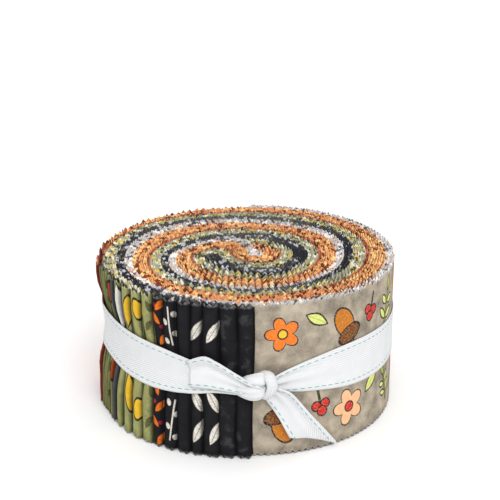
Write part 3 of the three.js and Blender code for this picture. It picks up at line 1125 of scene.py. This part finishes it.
def running_stitch_tree():
    """The tree that sets a stitch at every step of a line."""
    graph, given = new_geometry_tree("running stitch", {
        "Pitch": "NodeSocketFloat",
        "Half Size": "NodeSocketVector",
        "Thread": "NodeSocketMaterial",
    })
    line = graph.node("GeometryNodeMeshToCurve", inputs={"Mesh": given.out("Geometry")})
    spots = graph.node(
        "GeometryNodeResampleCurve",
        {"mode": "LENGTH"},
        {"Curve": line, "Length": given.out("Pitch")},
    )
    along = graph.node(
        "FunctionNodeAlignRotationToVector",
        {"axis": "X"},
        {"Vector": graph.node("GeometryNodeInputTangent")},
    )
    facing = graph.node(
        "FunctionNodeAlignRotationToVector",
        {"axis": "Z", "pivot_axis": "X"},
        {"Rotation": along, "Vector": named(graph, "facing", "FLOAT_VECTOR")},
    )
    stitch = graph.node("GeometryNodeMeshUVSphere", inputs={"Segments": 8, "Rings": 6})
    stitch = graph.node(
        "GeometryNodeTransform", inputs={"Geometry": stitch, "Scale": given.out("Half Size")}
    )
    rows = graph.node(
        "GeometryNodeInstanceOnPoints",
        inputs={"Points": spots, "Instance": stitch, "Rotation": facing},
    )
    return finish_tree(graph, rows, given.out("Thread"))


RUNNING_STITCH = running_stitch_tree()
print("the stitch tree has", len(RUNNING_STITCH.nodes), "nodes")

# %% [markdown]
# A stitched line is worked out from the same places as the tape, so that it follows every pleat
# and lies on the tape's outer face. The lines go through the tree one by one, and all their
# stitches are joined as one piece.

# %% Rows of stitches
STITCH_LINES = (0.11, 0.89)
FACING_REACH = 0.02


def stitch_path(lines, count, shape, share):
    """Places of a stitched line on a length of tape, and the way that the tape faces there."""
    stations = np.linspace(lines[0, 0], lines[-1, 0], count)
    beside = np.array([share - FACING_REACH, share, share + FACING_REACH])
    rows = tape_places(lines, stations, beside, shape)
    onward = np.gradient(rows[:, 1], axis=0)
    facing = np.cross(onward, rows[:, 2] - rows[:, 0])
    facing /= np.linalg.norm(facing, axis=1)[:, None]
    outward = rows[:, 1] * [1, 1, 0]
    facing *= np.sign((facing * outward).sum(axis=1))[:, None]
    return rows[:, 1] + facing * TAPE_THICKNESS / 2, facing


def make_stitches(name, lengths_of_tape, thread):
    """All the stitches of some lengths of tape, as one piece."""
    bm = bmesh.new()
    for lines, count, shape in lengths_of_tape:
        for share in STITCH_LINES:
            places, facing = stitch_path(lines, count, shape, share)
            source = path_mesh(places * MM, {})
            stored = source.attributes.new("facing", "FLOAT_VECTOR", "POINT")
            stored.data.foreach_set("vector", facing.astype(np.float32).ravel())
            made = mesh_through_tree(source, RUNNING_STITCH, {
                "Pitch": STITCH_PITCH * MM,
                "Half Size": tuple(side * MM for side in STITCH_HALF_SIZE),
                "Thread": thread,
            })
            bm.from_mesh(made)
            bpy.data.meshes.remove(made)
    mesh = bpy.data.meshes.new(name)
    bm.to_mesh(mesh)
    bm.free()
    mesh.materials.append(thread)
    mesh.polygons.foreach_set("use_smooth", [True] * len(mesh.polygons))
    return linked(name, mesh)


print("the lines lie", round(STITCH_LINES[0] * TAPE_WIDTH, 1), "mm from the tape's edges")

# %% [markdown]
# Every finish is drawn with nodes on the cloth's own map: how far a spot is past the strip's
# fold, and how high it is, both in millimetres. A print is a ground with marks on it, and a mark
# is a colour and a mask. The masks come from a few shapes, such as an oval or a leaf, each given
# as a distance from its edge, so that the same shape gives the fill and its dark outline.

# %% Shapes that prints are drawn with
WHITE = (1.0, 1.0, 1.0)
INK = (0.012, 0.012, 0.014)
# DEEP_SHADE is the near-black that painted shade in the valleys and low between the teeth blends
# towards.
DEEP_SHADE = (0.003, 0.003, 0.004)


def blend(graph, share, first, second):
    """The first colour where share is 0, the second where it is 1."""
    colours = [c if isinstance(c, Value) else (*c, 1.0) for c in (first, second)]
    inputs = {0: share, 6: colours[0], 7: colours[1]}
    return graph.node("ShaderNodeMix", {"data_type": "RGBA"}, inputs, 2)


def noise(graph, size, detail=2.0, stretch=(1.0, 1.0), shift=0.0):
    """Soft noise with spots about size millimetres across, from 0 to 1."""
    spot = graph.node("ShaderNodeUVMap", {"uv_map": "UVMap"})
    scale = (stretch[0] / (size * MM), stretch[1] / (size * MM), 1.0)
    inputs = {0: spot, 1: scale, 2: (shift, -shift, 0.0)}
    spot = graph.node("ShaderNodeVectorMath", {"operation": "MULTIPLY_ADD"}, inputs)
    return graph.node(
        "ShaderNodeTexNoise",
        {"noise_dimensions": "2D"},
        {"Vector": spot, "Scale": 1.0, "Detail": detail},
    )


def cloth_place(graph):
    """How far past the fold, and how high, a spot of the cloth is, in millimetres."""
    parts = graph.node(
        "ShaderNodeSeparateXYZ", inputs=[graph.node("ShaderNodeUVMap", {"uv_map": "UVMap"})]
    )
    return parts.out("X") / MM, parts.out("Y") / MM


def turned(x, y, centre, degrees):
    """Coordinates about a motif's centre, along its own axis and across it."""
    c, s = math.cos(math.radians(degrees)), math.sin(math.radians(degrees))
    dx, dy = x - centre[0], y - centre[1]
    return dx * c + dy * s, dy * c - dx * s


def oval(x, y, centre, half_length, half_width, degrees=0.0):
    """Distance from an oval's edge, below zero inside it."""
    a, b = turned(x, y, centre, degrees)
    a, b = a / half_length, b / half_width
    return ((a * a + b * b).math("SQRT") - 1.0) * min(half_length, half_width)


def leaf(x, y, centre, half_length, half_width, degrees=0.0):
    """Distance from the edge of a leaf that is pointed at both ends."""
    a, b = turned(x, y, centre, degrees)
    a = a / half_length
    return (b.math("ABSOLUTE") - half_width + a * a * half_width) * 0.8


def stroke(x, y, centre, half_length, half_width, degrees=0.0):
    """Distance from the edge of a straight stroke."""
    a, b = turned(x, y, centre, degrees)
    end = a.math("ABSOLUTE") - half_length
    return end.math("MAXIMUM", b.math("ABSOLUTE") - half_width)


def inside(distance):
    """The mask of a shape."""
    return distance.below(0.0, 0.12)


def edge_line(distance, width=0.3):
    """The mask of a line along a shape's edge."""
    return distance.math("ABSOLUTE").below(width, 0.1)


print("the shapes are oval, leaf and stroke")

# %% [markdown]
# Every finish starts from one matt shader. Colours are written as a screen shows them, and are
# turned into the shader's linear numbers in Python.

# %% Paints and empty finishes
CLOTH_SHINE = 0.12


def paint(red, green, blue):
    """A colour as a screen shows it, from 0 to 255, as the shader's linear numbers."""
    shown = np.array([red, green, blue]) / 255
    return tuple(float(v) for v in np.where(shown < 0.04, shown / 12.92, shown**2.25))


def shaded(colour, towards, share):
    """A colour moved a share of the way towards another."""
    return tuple(float(a * (1 - share) + b * share) for a, b in zip(colour, towards))


def new_finish(name, roughness):
    """An empty material with its graph and its shader node."""
    material = bpy.data.materials.new(name)
    material.use_nodes = True
    shader = material.node_tree.nodes["Principled BSDF"]
    shader.inputs["Roughness"].default_value = roughness
    shader.inputs["Specular IOR Level"].default_value = CLOTH_SHINE
    return material, Graph(material.node_tree), shader


def set_colour(graph, shader, colour):
    graph.tree.links.new(colour.socket, shader.inputs["Base Color"])


def set_bump(graph, shader, height, depth):
    """A bump whose height runs from 0 to 1, depth millimetres deep."""
    bump = graph.node("ShaderNodeBump", inputs={"Distance": depth * MM, "Height": height})
    graph.tree.links.new(bump.socket, shader.inputs["Normal"])


print("a mid grey is", round(paint(128, 128, 128)[0], 2), "in linear numbers")

# %% [markdown]
# Seen from above, the roll is thousands of cut edges, and each shows now a dark, now a pale part
# of its print. Small cells of random colour do that. They lie in the roll's own space, so that
# neighbouring strips share them. Shade is painted into the colour low between the wound-in teeth,
# and in the valleys between ribs, where the columns' shade says so.

# %% Painted shade and flecks
# How strongly shade is painted into the rib valleys and low between the wound-in teeth, and below
# which height.
VALLEY_SHADE = 0.95
NOTCH_SHADE = 0.8
NOTCH_HEIGHT = 62.3
FLECK_SIZE = 1.5
FLECK_STRENGTH = 0.9
NO_FLECK_BELOW = 0.02


def shown_part(graph):
    """1 where a strip shows on the roll's side and 0 where it is wound in."""
    return graph.node("ShaderNodeAttribute", {"attribute_name": "fine"}, output=2)


def with_painted_shade(graph, colour):
    """The colour with painted shade: darker in the valleys between ribs and low between the wound-in
    teeth.
    """
    x, y = cloth_place(graph)
    valley = graph.node("ShaderNodeAttribute", {"attribute_name": "valley"}, output=2)
    low = y.below(NOTCH_HEIGHT, 0.4) * (1 - shown_part(graph))
    shade = (valley * VALLEY_SHADE).math("MAXIMUM", low * NOTCH_SHADE)
    return blend(graph, shade, colour, DEEP_SHADE)


def mixed(graph, colour, flecks, where):
    """The colour with flecks of (colour, share) over it where asked."""
    spot = graph.node("ShaderNodeTexCoord", output=3)
    cells = 1 / (FLECK_SIZE * MM)
    scale = (cells, cells, 0.1 * cells)
    spot = graph.node("ShaderNodeVectorMath", {"operation": "MULTIPLY"}, {0: spot, 1: scale})
    cell = graph.node("ShaderNodeTexVoronoi", inputs={"Vector": spot, "Scale": 1.0}, output=1)
    chance = graph.node("ShaderNodeSeparateXYZ", inputs=[cell])
    start = NO_FLECK_BELOW
    for fleck, share in flecks:
        picked = chance.above(start) * chance.below(start + share)
        colour = blend(graph, picked * where * FLECK_STRENGTH, colour, fleck)
        start += share
    return colour


print("flecks are cells of", FLECK_SIZE, "mm")

# %% [markdown]
# One cotton has three finishes: the printed face, the paler reverse, and the raw edge, where the
# blade has cut through white yarn. All three share a plain weave of fine yarns, as a bump, and
# the printed face is a little worn and fluffy at the zigzag edges.

# %% A cotton's finishes
YARN_PITCH = 0.36
YARN_DEPTH = 0.03
WORN_UP_TO = 0.1
WORN_FROM = 63.2


def plain_weave(graph):
    """Yarns that cross one over one."""
    x, y = cloth_place(graph)
    turn = 2 * math.pi / YARN_PITCH
    return (x * turn).math("SINE") * (y * turn).math("SINE") * 0.5 + 0.5


def printed_face(name, ground, tone, blotch, marks, shift=0.0, flecks=()):
    """A print: its ground, two noises that make it uneven, and marks of (colour, mask)."""
    material, graph, shader = new_finish(name, 0.92)
    x, y = cloth_place(graph)
    dark = shaded(ground, INK, tone)
    pale = tuple(part * (1 + tone * 0.8) + 0.012 * tone for part in ground)
    cloud = noise(graph, blotch, 4.0, shift=shift)
    grain = noise(graph, 0.7, 1.0, shift=shift)
    colour = blend(graph, cloud.above(0.5, 0.2), dark, pale)
    for tint, mask in marks(x, y, cloud):
        colour = blend(graph, mask, colour, tint)
    wash = noise(graph, 2.6, 4.0, shift=shift + 9).above(0.52, 0.2)
    colour = blend(graph, wash * 0.16, colour, INK)
    colour = blend(graph, grain.above(0.6, 0.12) * (0.1 + tone * 0.5), colour, pale)
    ragged = noise(graph, 0.6, 1.0) * 1.6
    worn = (y - ragged).below(WORN_UP_TO, 0.5)
    worn = (y + ragged).above(WORN_FROM, 0.5).math("MAXIMUM", worn)
    colour = blend(graph, worn * 0.3, colour, shaded(ground, WHITE, 0.5))
    if flecks:
        colour = mixed(graph, colour, flecks, 1 - shown_part(graph))
    # The print gets painted shade in the rib valleys and low between the wound-in teeth.
    set_colour(graph, shader, with_painted_shade(graph, colour))
    set_bump(graph, shader, plain_weave(graph), YARN_DEPTH)
    return material


def back_face(name, tint, flecks, shift):
    """The reverse or the raw edge: an uneven tint with flecks."""
    material, graph, shader = new_finish(name, 0.97)
    soft = noise(graph, 3.0, 3.0, shift=shift).above(0.5, 0.15)
    colour = blend(graph, soft, shaded(tint, INK, 0.3), tint)
    colour = mixed(graph, colour, flecks, 1.0)
    # The back gets painted shade in the rib valleys and low between the wound-in teeth.
    set_colour(graph, shader, with_painted_shade(graph, colour))
    set_bump(graph, shader, plain_weave(graph), YARN_DEPTH)
    return material


print("yarns lie", YARN_PITCH, "mm apart")

# %% [markdown]
# The cottons come in five groups. A group has a ground, a few tints for its backs, and the
# colours of its flecks. The raw edges are a little paler than the cloth, most of all the grey.

# %% The groups of cotton
CREAM = paint(232, 226, 214)
GROUNDS = {
    "black": paint(25, 24, 26),
    "green": paint(162, 163, 106),
    "red": paint(132, 46, 32),
    "orange": paint(232, 134, 48),
    "grey": paint(200, 195, 194),
}
BACK_TINTS = {
    "black": [paint(32, 34, 44), paint(52, 56, 66), paint(20, 21, 28)],
    "green": [
        paint(164, 166, 122), paint(214, 210, 176), paint(126, 130, 98), paint(186, 182, 150),
    ],
    "red": [paint(150, 50, 36), paint(190, 92, 58)],
    "orange": [
        paint(255, 184, 84), paint(246, 142, 52), paint(255, 218, 138), paint(206, 96, 48),
    ],
    "grey": [paint(224, 218, 218), paint(184, 180, 186), paint(238, 233, 232)],
}
FLECKS = {
    "black": [(paint(214, 216, 224), 0.14), (paint(130, 124, 108), 0.1)],
    "green": [
        (paint(58, 60, 50), 0.17), (paint(246, 242, 220), 0.17), (paint(232, 200, 84), 0.11),
    ],
    "red": [(paint(226, 150, 100), 0.15), (paint(50, 26, 24), 0.15)],
    "orange": [
        (paint(120, 40, 26), 0.17), (paint(255, 226, 160), 0.16), (paint(60, 48, 46), 0.07),
    ],
    "grey": [
        (paint(74, 72, 80), 0.16), (paint(252, 250, 248), 0.2), (paint(222, 164, 132), 0.08),
    ],
}
REVERSE_PALENESS = 0.12
EDGE_PALENESS = {"black": 0.02, "green": 0.2, "red": 0.1, "orange": 0.15, "grey": 0.4}
BACKS = {}
for group, tints in BACK_TINTS.items():
    BACKS[group] = [
        [
            back_face(f"{group} {side} {i}", shaded(tint, CREAM, pale), FLECKS[group], shift)
            for side, pale, shift in (
                ("reverse", REVERSE_PALENESS, 17.0 * i),
                ("raw edge", EDGE_PALENESS[group], 5.0 + 11.0 * i),
            )
        ]
        for i, tint in enumerate(tints)
    ]
print("the backs are made for", ", ".join(BACKS))

# %% [markdown]
# The prints go with the places where they show. Only a few millimetres of each of the black and
# green cottons show at its fold, so a few marks where they can be seen are enough there. A mark
# is a row of its shape, its colour, how strongly it is printed, and the shape's centre, half
# sizes and turn. One function draws all such rows, with a dark outline where asked.

# %% Marks near a fold
YELLOW = paint(240, 190, 50)
RUST = paint(190, 78, 30)
BRIGHT_ORANGE = paint(240, 122, 36)
CRIMSON = paint(188, 40, 74)
CHARCOAL = paint(84, 84, 88)


def drawn(rows, outlined=False):
    """Marks from rows of shape, colour, strength, centre, half length, half width and turn."""
    def marks(x, y, cloud):
        made = []
        for shape, colour, strength, *place in rows:
            distance = shape(x, y, *place)
            made.append((colour, inside(distance) * strength))
            if outlined:
                made.append((INK, edge_line(distance)))
        return made
    return marks


PETALS = drawn([
    row
    for centre, turn in (((3.2, 52.0), 118), ((3.6, 23.0), 62), ((2.8, 10.5), 112))
    for row in (
        (leaf, CREAM, 1.0, centre, 5.4, 1.7, turn),
        (stroke, GROUNDS["black"], 0.8, centre, 4.0, 0.12, turn),
    )
])
BUDS = drawn([
    (stroke, CREAM, 1.0, (3.2, 52.0), 8.0, 0.3, 84),
    (stroke, CREAM, 1.0, (3.0, 13.0), 8.5, 0.3, 95),
    *((oval, CREAM, 1.0, centre, 1.35, 1.0, 60) for centre in (
        (1.6, 57.0), (5.2, 53.5), (1.2, 49.0), (4.8, 45.5),
        (5.0, 20.0), (1.4, 15.5), (4.8, 10.5), (1.6, 6.0),
    )),
])
LEAVES_AND_DOTS = drawn([
    *((leaf, BRIGHT_ORANGE, 1.0, centre, 3.2, 1.25, turn) for centre, turn in (
        ((2.2, 60.0), 130), ((4.4, 54.5), 50), ((1.8, 45.5), 120), ((4.6, 24.5), 60),
        ((2.0, 17.5), 128), ((4.8, 11.0), 48), ((1.8, 3.6), 120),
    )),
    *((oval, CRIMSON, 1.0, centre, 0.8, 0.8) for centre in (
        (4.8, 59.6), (1.8, 51.0), (4.6, 19.0), (2.0, 10.5),
    )),
])
DARK_LEAVES = drawn([
    (leaf, paint(66, 64, 46), 0.8, centre, 3.2, 1.2, turn)
    for centre, turn in (
        ((2.2, 58.0), 60), ((3.4, 50.0), 120), ((1.8, 22.0), 70), ((3.0, 9.0), 115),
    )
])
YELLOW_OVALS = drawn([
    (oval, YELLOW, 1.0, (3.0, 55.5), 4.4, 2.4, 80),
    (oval, YELLOW, 1.0, (3.2, 13.0), 4.8, 2.6, 100),
], outlined=True)
YELLOW_LEAVES = drawn([
    (leaf, YELLOW, 1.0, (2.6, 18.0), 8.5, 2.5, 84),
    (leaf, YELLOW, 1.0, (3.0, 52.5), 7.5, 2.6, 98),
], outlined=True)
CREAM_LEAF = drawn([(leaf, paint(236, 234, 226), 1.0, (2.8, 52.0), 10.5, 3.0, 88)], outlined=True)
RUST_OVALS = drawn([
    (oval, RUST, 1.0, (2.4, 56.0), 4.6, 2.0, 95),
    (oval, RUST, 1.0, (2.2, 22.0), 5.0, 2.1, 86),
], outlined=True)
print("eight kinds of marks are drawn from rows")

# %% [markdown]
# Other marks follow a rule. A scattered leaf or dot repeats over the whole cloth, in columns that
# are set half a repeat apart. Patches and specks come from the same noise that makes the ground
# uneven.

# %% Marks that follow a rule
def no_marks(x, y, cloud):
    return []


def tonal_marks(x, y, cloud):
    """Soft grey patches, as of worn petals."""
    return [(paint(78, 76, 80), cloud.above(0.6, 0.06) * 0.5)]


def leaves_and_specks(x, y, cloud):
    """Dark leaves with dark specks between them."""
    specks = (cloud * 90.0).math("SINE").above(0.9, 0.08)
    return [*DARK_LEAVES(x, y, cloud), (paint(70, 66, 50), specks * 0.5)]


def scattered(colour, pitch, half_length, half_width, turn=0.0):
    """Marks that repeat one small leaf or dot in half-drop rows over the whole cloth."""
    def marks(x, y, cloud):
        column = (x / pitch).math("FLOOR")
        across = ((x / pitch).math("FRACT") - 0.5) * pitch
        along = ((y / pitch + column * 0.5).math("FRACT") - 0.5) * pitch
        return [(colour, inside(leaf(across, along, (0, 0), half_length, half_width, turn)))]
    return marks


def patches(colour, share):
    """Marks that scatter one colour over a share of the cloth."""
    def marks(x, y, cloud):
        return [(colour, cloud.above(1 - share, 0.05))]
    return marks


print("the others are scattered, patches and specks")

# %% [markdown]
# Prints are numbered by strip, from the inside of the bundle. The black cottons and the first
# eight green ones have prints of their own. The last two green ones and all the red, orange and
# grey ones show little of their sides in front, so they share a few prints. Those are slid along
# when a strip is made, so that no two fall alike.

# %% Which cotton has which print
def black_print(name, marks, shift=0.0):
    return printed_face(name, GROUNDS["black"], 0.6, 5.0, marks, shift, FLECKS["black"])


def green_print(name, marks, ground=GROUNDS["green"]):
    return printed_face(name, ground, 0.16, 6.0, marks, 0.0, FLECKS["green"])


def wound_print(group, name, marks, ground=None, tone=0.15):
    """A print of which more shows on the sides and back than in front."""
    return printed_face(name, ground or GROUNDS[group], tone, 3.0, marks, 0.0, FLECKS[group])


PRINTS = {
    0: black_print("black tonal print", tonal_marks),
    1: black_print("black tonal print, second", tonal_marks, 31.0),
    2: black_print("black with cream petals", PETALS),
    3: black_print("black with cream petals, second", PETALS, 13.0),
    4: black_print("plain black", no_marks),
    5: black_print("black with cream buds", BUDS),
    6: black_print("black with orange leaves", LEAVES_AND_DOTS),
    7: green_print("green with dark leaves", leaves_and_specks),
    8: green_print("green with yellow ovals", YELLOW_OVALS),
    9: green_print("green with yellow leaves", YELLOW_LEAVES),
    10: green_print("green with a cream leaf", CREAM_LEAF),
    11: green_print("charcoal", no_marks, CHARCOAL),
    12: green_print("green with rust ovals", RUST_OVALS),
    13: green_print("green with dark leaves, second", leaves_and_specks),
    14: green_print("plain green", no_marks),
}
SHARED_PRINTS = {
    "green": [PRINTS[14], PRINTS[12]],
    "red": [
        wound_print("red", "red with small leaves",
                    scattered(paint(206, 120, 60), 6.5, 1.6, 0.7, 40), tone=0.3),
        wound_print("red", "red", patches(paint(150, 62, 40), 0.4), tone=0.3),
    ],
    "orange": [
        wound_print("orange", "orange", patches(paint(246, 166, 84), 0.45)),
        wound_print("orange", "orange with cream leaves", scattered(CREAM, 7.0, 2.2, 0.9, 55)),
        wound_print("orange", "gold with rust leaves", scattered(RUST, 8.0, 2.6, 1.1, -50),
                    paint(240, 162, 70)),
        wound_print("orange", "deep orange", scattered(paint(250, 190, 110), 5.0, 0.9, 0.6),
                    paint(214, 104, 40)),
    ],
    "grey": [
        wound_print("grey", "grey", no_marks),
        wound_print("grey", "grey with charcoal leaves", scattered(CHARCOAL, 6.0, 1.8, 0.7, 30)),
    ],
}
print(len(PRINTS), "prints near the folds, and", sum(map(len, SHARED_PRINTS.values())), "shared")

# %% [markdown]
# The outermost cotton has larger motifs: acorns, flowers, sprigs, berries and leaves. Each is a
# function that draws it about its own centre, at any size, as flat colour with a line round it.

# %% Motifs
LIME = paint(186, 200, 62)
PALE_LIME = paint(218, 226, 128)
SCARLET = paint(206, 50, 42)
PEACH = paint(240, 186, 140)
NUT = paint(196, 118, 34)


def filled(distance, colour, width=0.3):
    """The marks of a filled shape with a dark line round it."""
    return [(colour, inside(distance)), (INK, edge_line(distance, width))]


def acorn(x, y, centre, size, turn):
    """A nut with its cap, drawn about its centre."""
    a, b = turned(x, y, centre, turn)
    nut = oval(a, b, (0, -0.3 * size), 0.55 * size, 0.85 * size)
    cap = oval(a, b, (0, 0.45 * size), 0.72 * size, 0.42 * size)
    stalk = stroke(a, b, (0, 1.0 * size), 0.07 * size, 0.28 * size)
    return [*filled(nut, NUT), *filled(stalk, paint(96, 84, 40)), *filled(cap, paint(120, 72, 32))]


def flower(x, y, centre, size, petals, heart):
    """Five petals round a heart."""
    a, b = x - centre[0], y - centre[1]
    radius = (a * a + b * b).math("SQRT")
    wave = (b.math("ARCTAN2", a) * 2.5).math("COSINE").math("ABSOLUTE")
    edge = radius - (wave * 0.45 + 0.55) * size
    return [*filled(edge, petals), *filled(radius - 0.27 * size, heart)]


def sprig(x, y, centre, size, turn):
    """A stem with two pairs of leaves and one at its tip."""
    a, b = turned(x, y, centre, turn)
    side = a.math("ABSOLUTE")
    stem = stroke(a, b, (0, -0.1 * size), 0.05 * size, 0.9 * size)
    marks = filled(stem, LIME)
    for height, length in ((-0.25, 0.36), (0.3, 0.3)):
        place = (0.33 * size, height * size)
        marks += filled(leaf(side, b, place, length * size, 0.15 * size, 35), PALE_LIME)
    return marks + filled(leaf(a, b, (0, 0.95 * size), 0.32 * size, 0.14 * size, 90), LIME)


def berries(x, y, centre, size, turn):
    """Three berries on a stem."""
    a, b = turned(x, y, centre, turn)
    stem = stroke(a, b, (0, 0.55 * size), 0.05 * size, 0.6 * size)
    side = a.math("ABSOLUTE")
    pair = oval(side, b, (0.36 * size, -0.12 * size), 0.36 * size, 0.36 * size)
    low = oval(a, b, (0, -0.6 * size), 0.38 * size, 0.38 * size)
    return [*filled(stem, LIME), *filled(pair, SCARLET), *filled(low, SCARLET)]


def single_leaf(x, y, centre, size, turn, colour):
    """A leaf with a dark vein."""
    a, b = turned(x, y, centre, turn)
    vein = stroke(a, b, (0, 0), size, 0.05)
    return [*filled(leaf(a, b, (0, 0), size, 0.42 * size), colour), (INK, inside(vein))]


print("the motifs are acorn, flower, sprig, berries and leaf")

# %% [markdown]
# That cotton shows all round the right side. Its motifs are tossed about in two loose rows, so
# that some show above the tape and some below it, on a mottled taupe ground.

# %% The outermost print
TAUPE = paint(164, 153, 136)
OUTER_REPEAT = 96.0


def outer_marks(x, y, cloud):
    """The scattered print, which repeats round the roll."""
    across = (x / OUTER_REPEAT).math("FRACT") * OUTER_REPEAT
    return [
        *flower(across, y, (82.0, 50.5), 7.0, BRIGHT_ORANGE, YELLOW),
        *single_leaf(across, y, (68.0, 55.0), 5.2, 28, PALE_LIME),
        *acorn(across, y, (54.0, 49.0), 8.0, 152),
        *berries(across, y, (39.5, 53.0), 5.6, 14),
        *sprig(across, y, (25.0, 48.5), 10.5, 14),
        *single_leaf(across, y, (11.5, 54.0), 5.2, 118, BRIGHT_ORANGE),
        *acorn(across, y, (82.5, 13.5), 7.6, -22),
        *berries(across, y, (66.0, 19.5), 5.6, -12),
        *flower(across, y, (52.0, 14.5), 8.0, PEACH, SCARLET),
        *single_leaf(across, y, (38.0, 21.0), 5.6, 140, PALE_LIME),
        *sprig(across, y, (24.5, 13.5), 8.5, -20),
        *single_leaf(across, y, (9.0, 19.0), 6.0, 62, SCARLET),
    ]


OUTER_PRINT = printed_face("taupe with a scattered print", TAUPE, 0.4, 8.0, outer_marks)
print("the outermost print has", len(OUTER_PRINT.node_tree.nodes), "nodes")

# %% [markdown]
# The tape is a white cotton twill whose slanting ribs meet in chevrons along its middle. They are
# drawn as a bump and as fine lines of painted shade between them, on the tape's own lengths and
# widths, with uneven patches of tone. The thread is plain, because a stitch is only a few pixels
# wide.

# %% The tape's and the thread's finish
TWILL_PITCH = 0.8
TWILL_SLANT = (0.9, 0.55)
TWILL_DEPTH = 0.08


def twill_finish():
    """White twill, with painted shade between its ribs, uneven tone, and the ribs as a bump."""
    material, graph, shader = new_finish("white twill tape", 0.85)
    along, across = cloth_place(graph)
    slant = (across - TAPE_WIDTH / 2).math("ABSOLUTE") * TWILL_SLANT[0] + along * TWILL_SLANT[1]
    ribs = (slant * (2 * math.pi / TWILL_PITCH)).math("SINE") * 0.5 + 0.5
    patchy = noise(graph, 6.0, 3.0)
    # The darker lines are painted shade between the twill ribs, and the patches are uneven tone.
    colour = blend(graph, ribs * 0.6 + patchy * 0.3, (0.58, 0.59, 0.61), (0.84, 0.84, 0.84))
    set_colour(graph, shader, colour)
    set_bump(graph, shader, ribs, TWILL_DEPTH)
    return material


def thread_finish():
    material, graph, shader = new_finish("teal thread", 0.7)
    shader.inputs["Base Color"].default_value = (*paint(98, 164, 158), 1.0)
    return material


TAPE_CLOTHS = [twill_finish()]
THREAD = thread_finish()
print("finishes in all:", len(bpy.data.materials))

# %% [markdown]
# With the shapes and the finishes ready, the forty strips are made from the inside of the bundle
# outwards. Each rides on the part's one body and stands for the roll's solid.

# %% The strips
GROUP_OF = [name for name, angles in FOLDS.items() for _ in angles]
SLIDE = 53.0


def face_of(k):
    """The print of strip k, and how far it is slid along the strip."""
    if k == STRIPS - 1:
        return OUTER_PRINT, 0.0
    if k in PRINTS:
        return PRINTS[k], 0.0
    choices = SHARED_PRINTS[GROUP_OF[k]]
    return choices[k % len(choices)], SLIDE * k


strips = []
for k in range(STRIPS):
    face, slide = face_of(k)
    backs = BACKS[GROUP_OF[k]]
    strips.append(make_strip(k, [face, *backs[k % len(backs)]], slide))
for strip in strips:
    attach(strip, "root")
    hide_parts("strip_roll")
print("made", len(strips), "strips")

# %% [markdown]
# The tape is made last: the band, its two ends, the knot's rolls and the stitches along all three
# lengths. They stand for the tape's solid. The band is stretched round the roll, one end hangs
# and the other lies on the band.

# %% The tape
TAPE_LENGTHS = {
    "tape_band": (band_lines(), 380, band_pleats),
    "tape_right_end": (numbered(RIGHT_END), 50, right_end_shape),
    "tape_left_end": (numbered(LEFT_END), 50, left_end_shape),
}
band, right_end, left_end = (
    make_tape(name, *length, TAPE_CLOTHS) for name, length in TAPE_LENGTHS.items()
)
rolls = [
    make_roll("knot_" + name, KNOT_ROUTES[name], KNOT_CREASES[name], TAPE_CLOTHS)
    for name in KNOT_ROUTES
]
stitches = make_stitches("tape_stitches", TAPE_LENGTHS.values(), THREAD)
for piece in (band, right_end, left_end, stitches, *rolls):
    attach(piece, "root")
    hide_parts("tie_ribbon")
print("made the band, two ends,", len(rolls), "rolls and the stitches")

# %% [markdown]
# The photograph was taken on white, in soft light, with a faint shadow under the roll. So the
# floor is nearly white and wide, the sky is white on all sides, and one broad lamp in front and
# above gives the cloth its shading. Standard colours keep white as white.

# %% The floor and the light
FLOOR_REACH = 4.0
FLOOR_WHITENESS = 0.94
SKY_STRENGTH = 0.84
LAMP_STRENGTH = 1.7
LAMP_BREADTH = 40
LAMP_PLACE = (0.2, -0.85, 0.95)
LAMP_AIM = (0, 0, 0.03)
floor_mesh = bpy.data.meshes.new("floor")
corners = [(x * FLOOR_REACH, y * FLOOR_REACH, 0) for x, y in ((-1, -1), (1, -1), (1, 1), (-1, 1))]
floor_mesh.from_pydata(corners, [], [(0, 1, 2, 3)])
floor = linked("floor", floor_mesh)
floor_finish = bpy.data.materials.new("pale floor")
floor_finish.use_nodes = True
floor_shader = floor_finish.node_tree.nodes["Principled BSDF"]
floor_shader.inputs["Base Color"].default_value = (*[FLOOR_WHITENESS] * 3, 1)
floor_shader.inputs["Roughness"].default_value = 0.9
floor_mesh.materials.append(floor_finish)
world = bpy.data.worlds.new("studio")
bpy.context.scene.world = world
world.use_nodes = True
world.node_tree.nodes["Background"].inputs["Color"].default_value = (1, 1, 1, 1)
world.node_tree.nodes["Background"].inputs["Strength"].default_value = SKY_STRENGTH
key_lamp = bpy.data.lights.new("key", "SUN")
key_lamp.energy = LAMP_STRENGTH
key_lamp.angle = math.radians(LAMP_BREADTH)
key = linked("key", key_lamp)
key.location = LAMP_PLACE
key.rotation_euler = (Vector(LAMP_AIM) - key.location).to_track_quat("-Z", "Y").to_euler()
bpy.context.scene.view_settings.view_transform = "Standard"
print("the lamp stands", round(key.location.length, 2), "m from the roll")
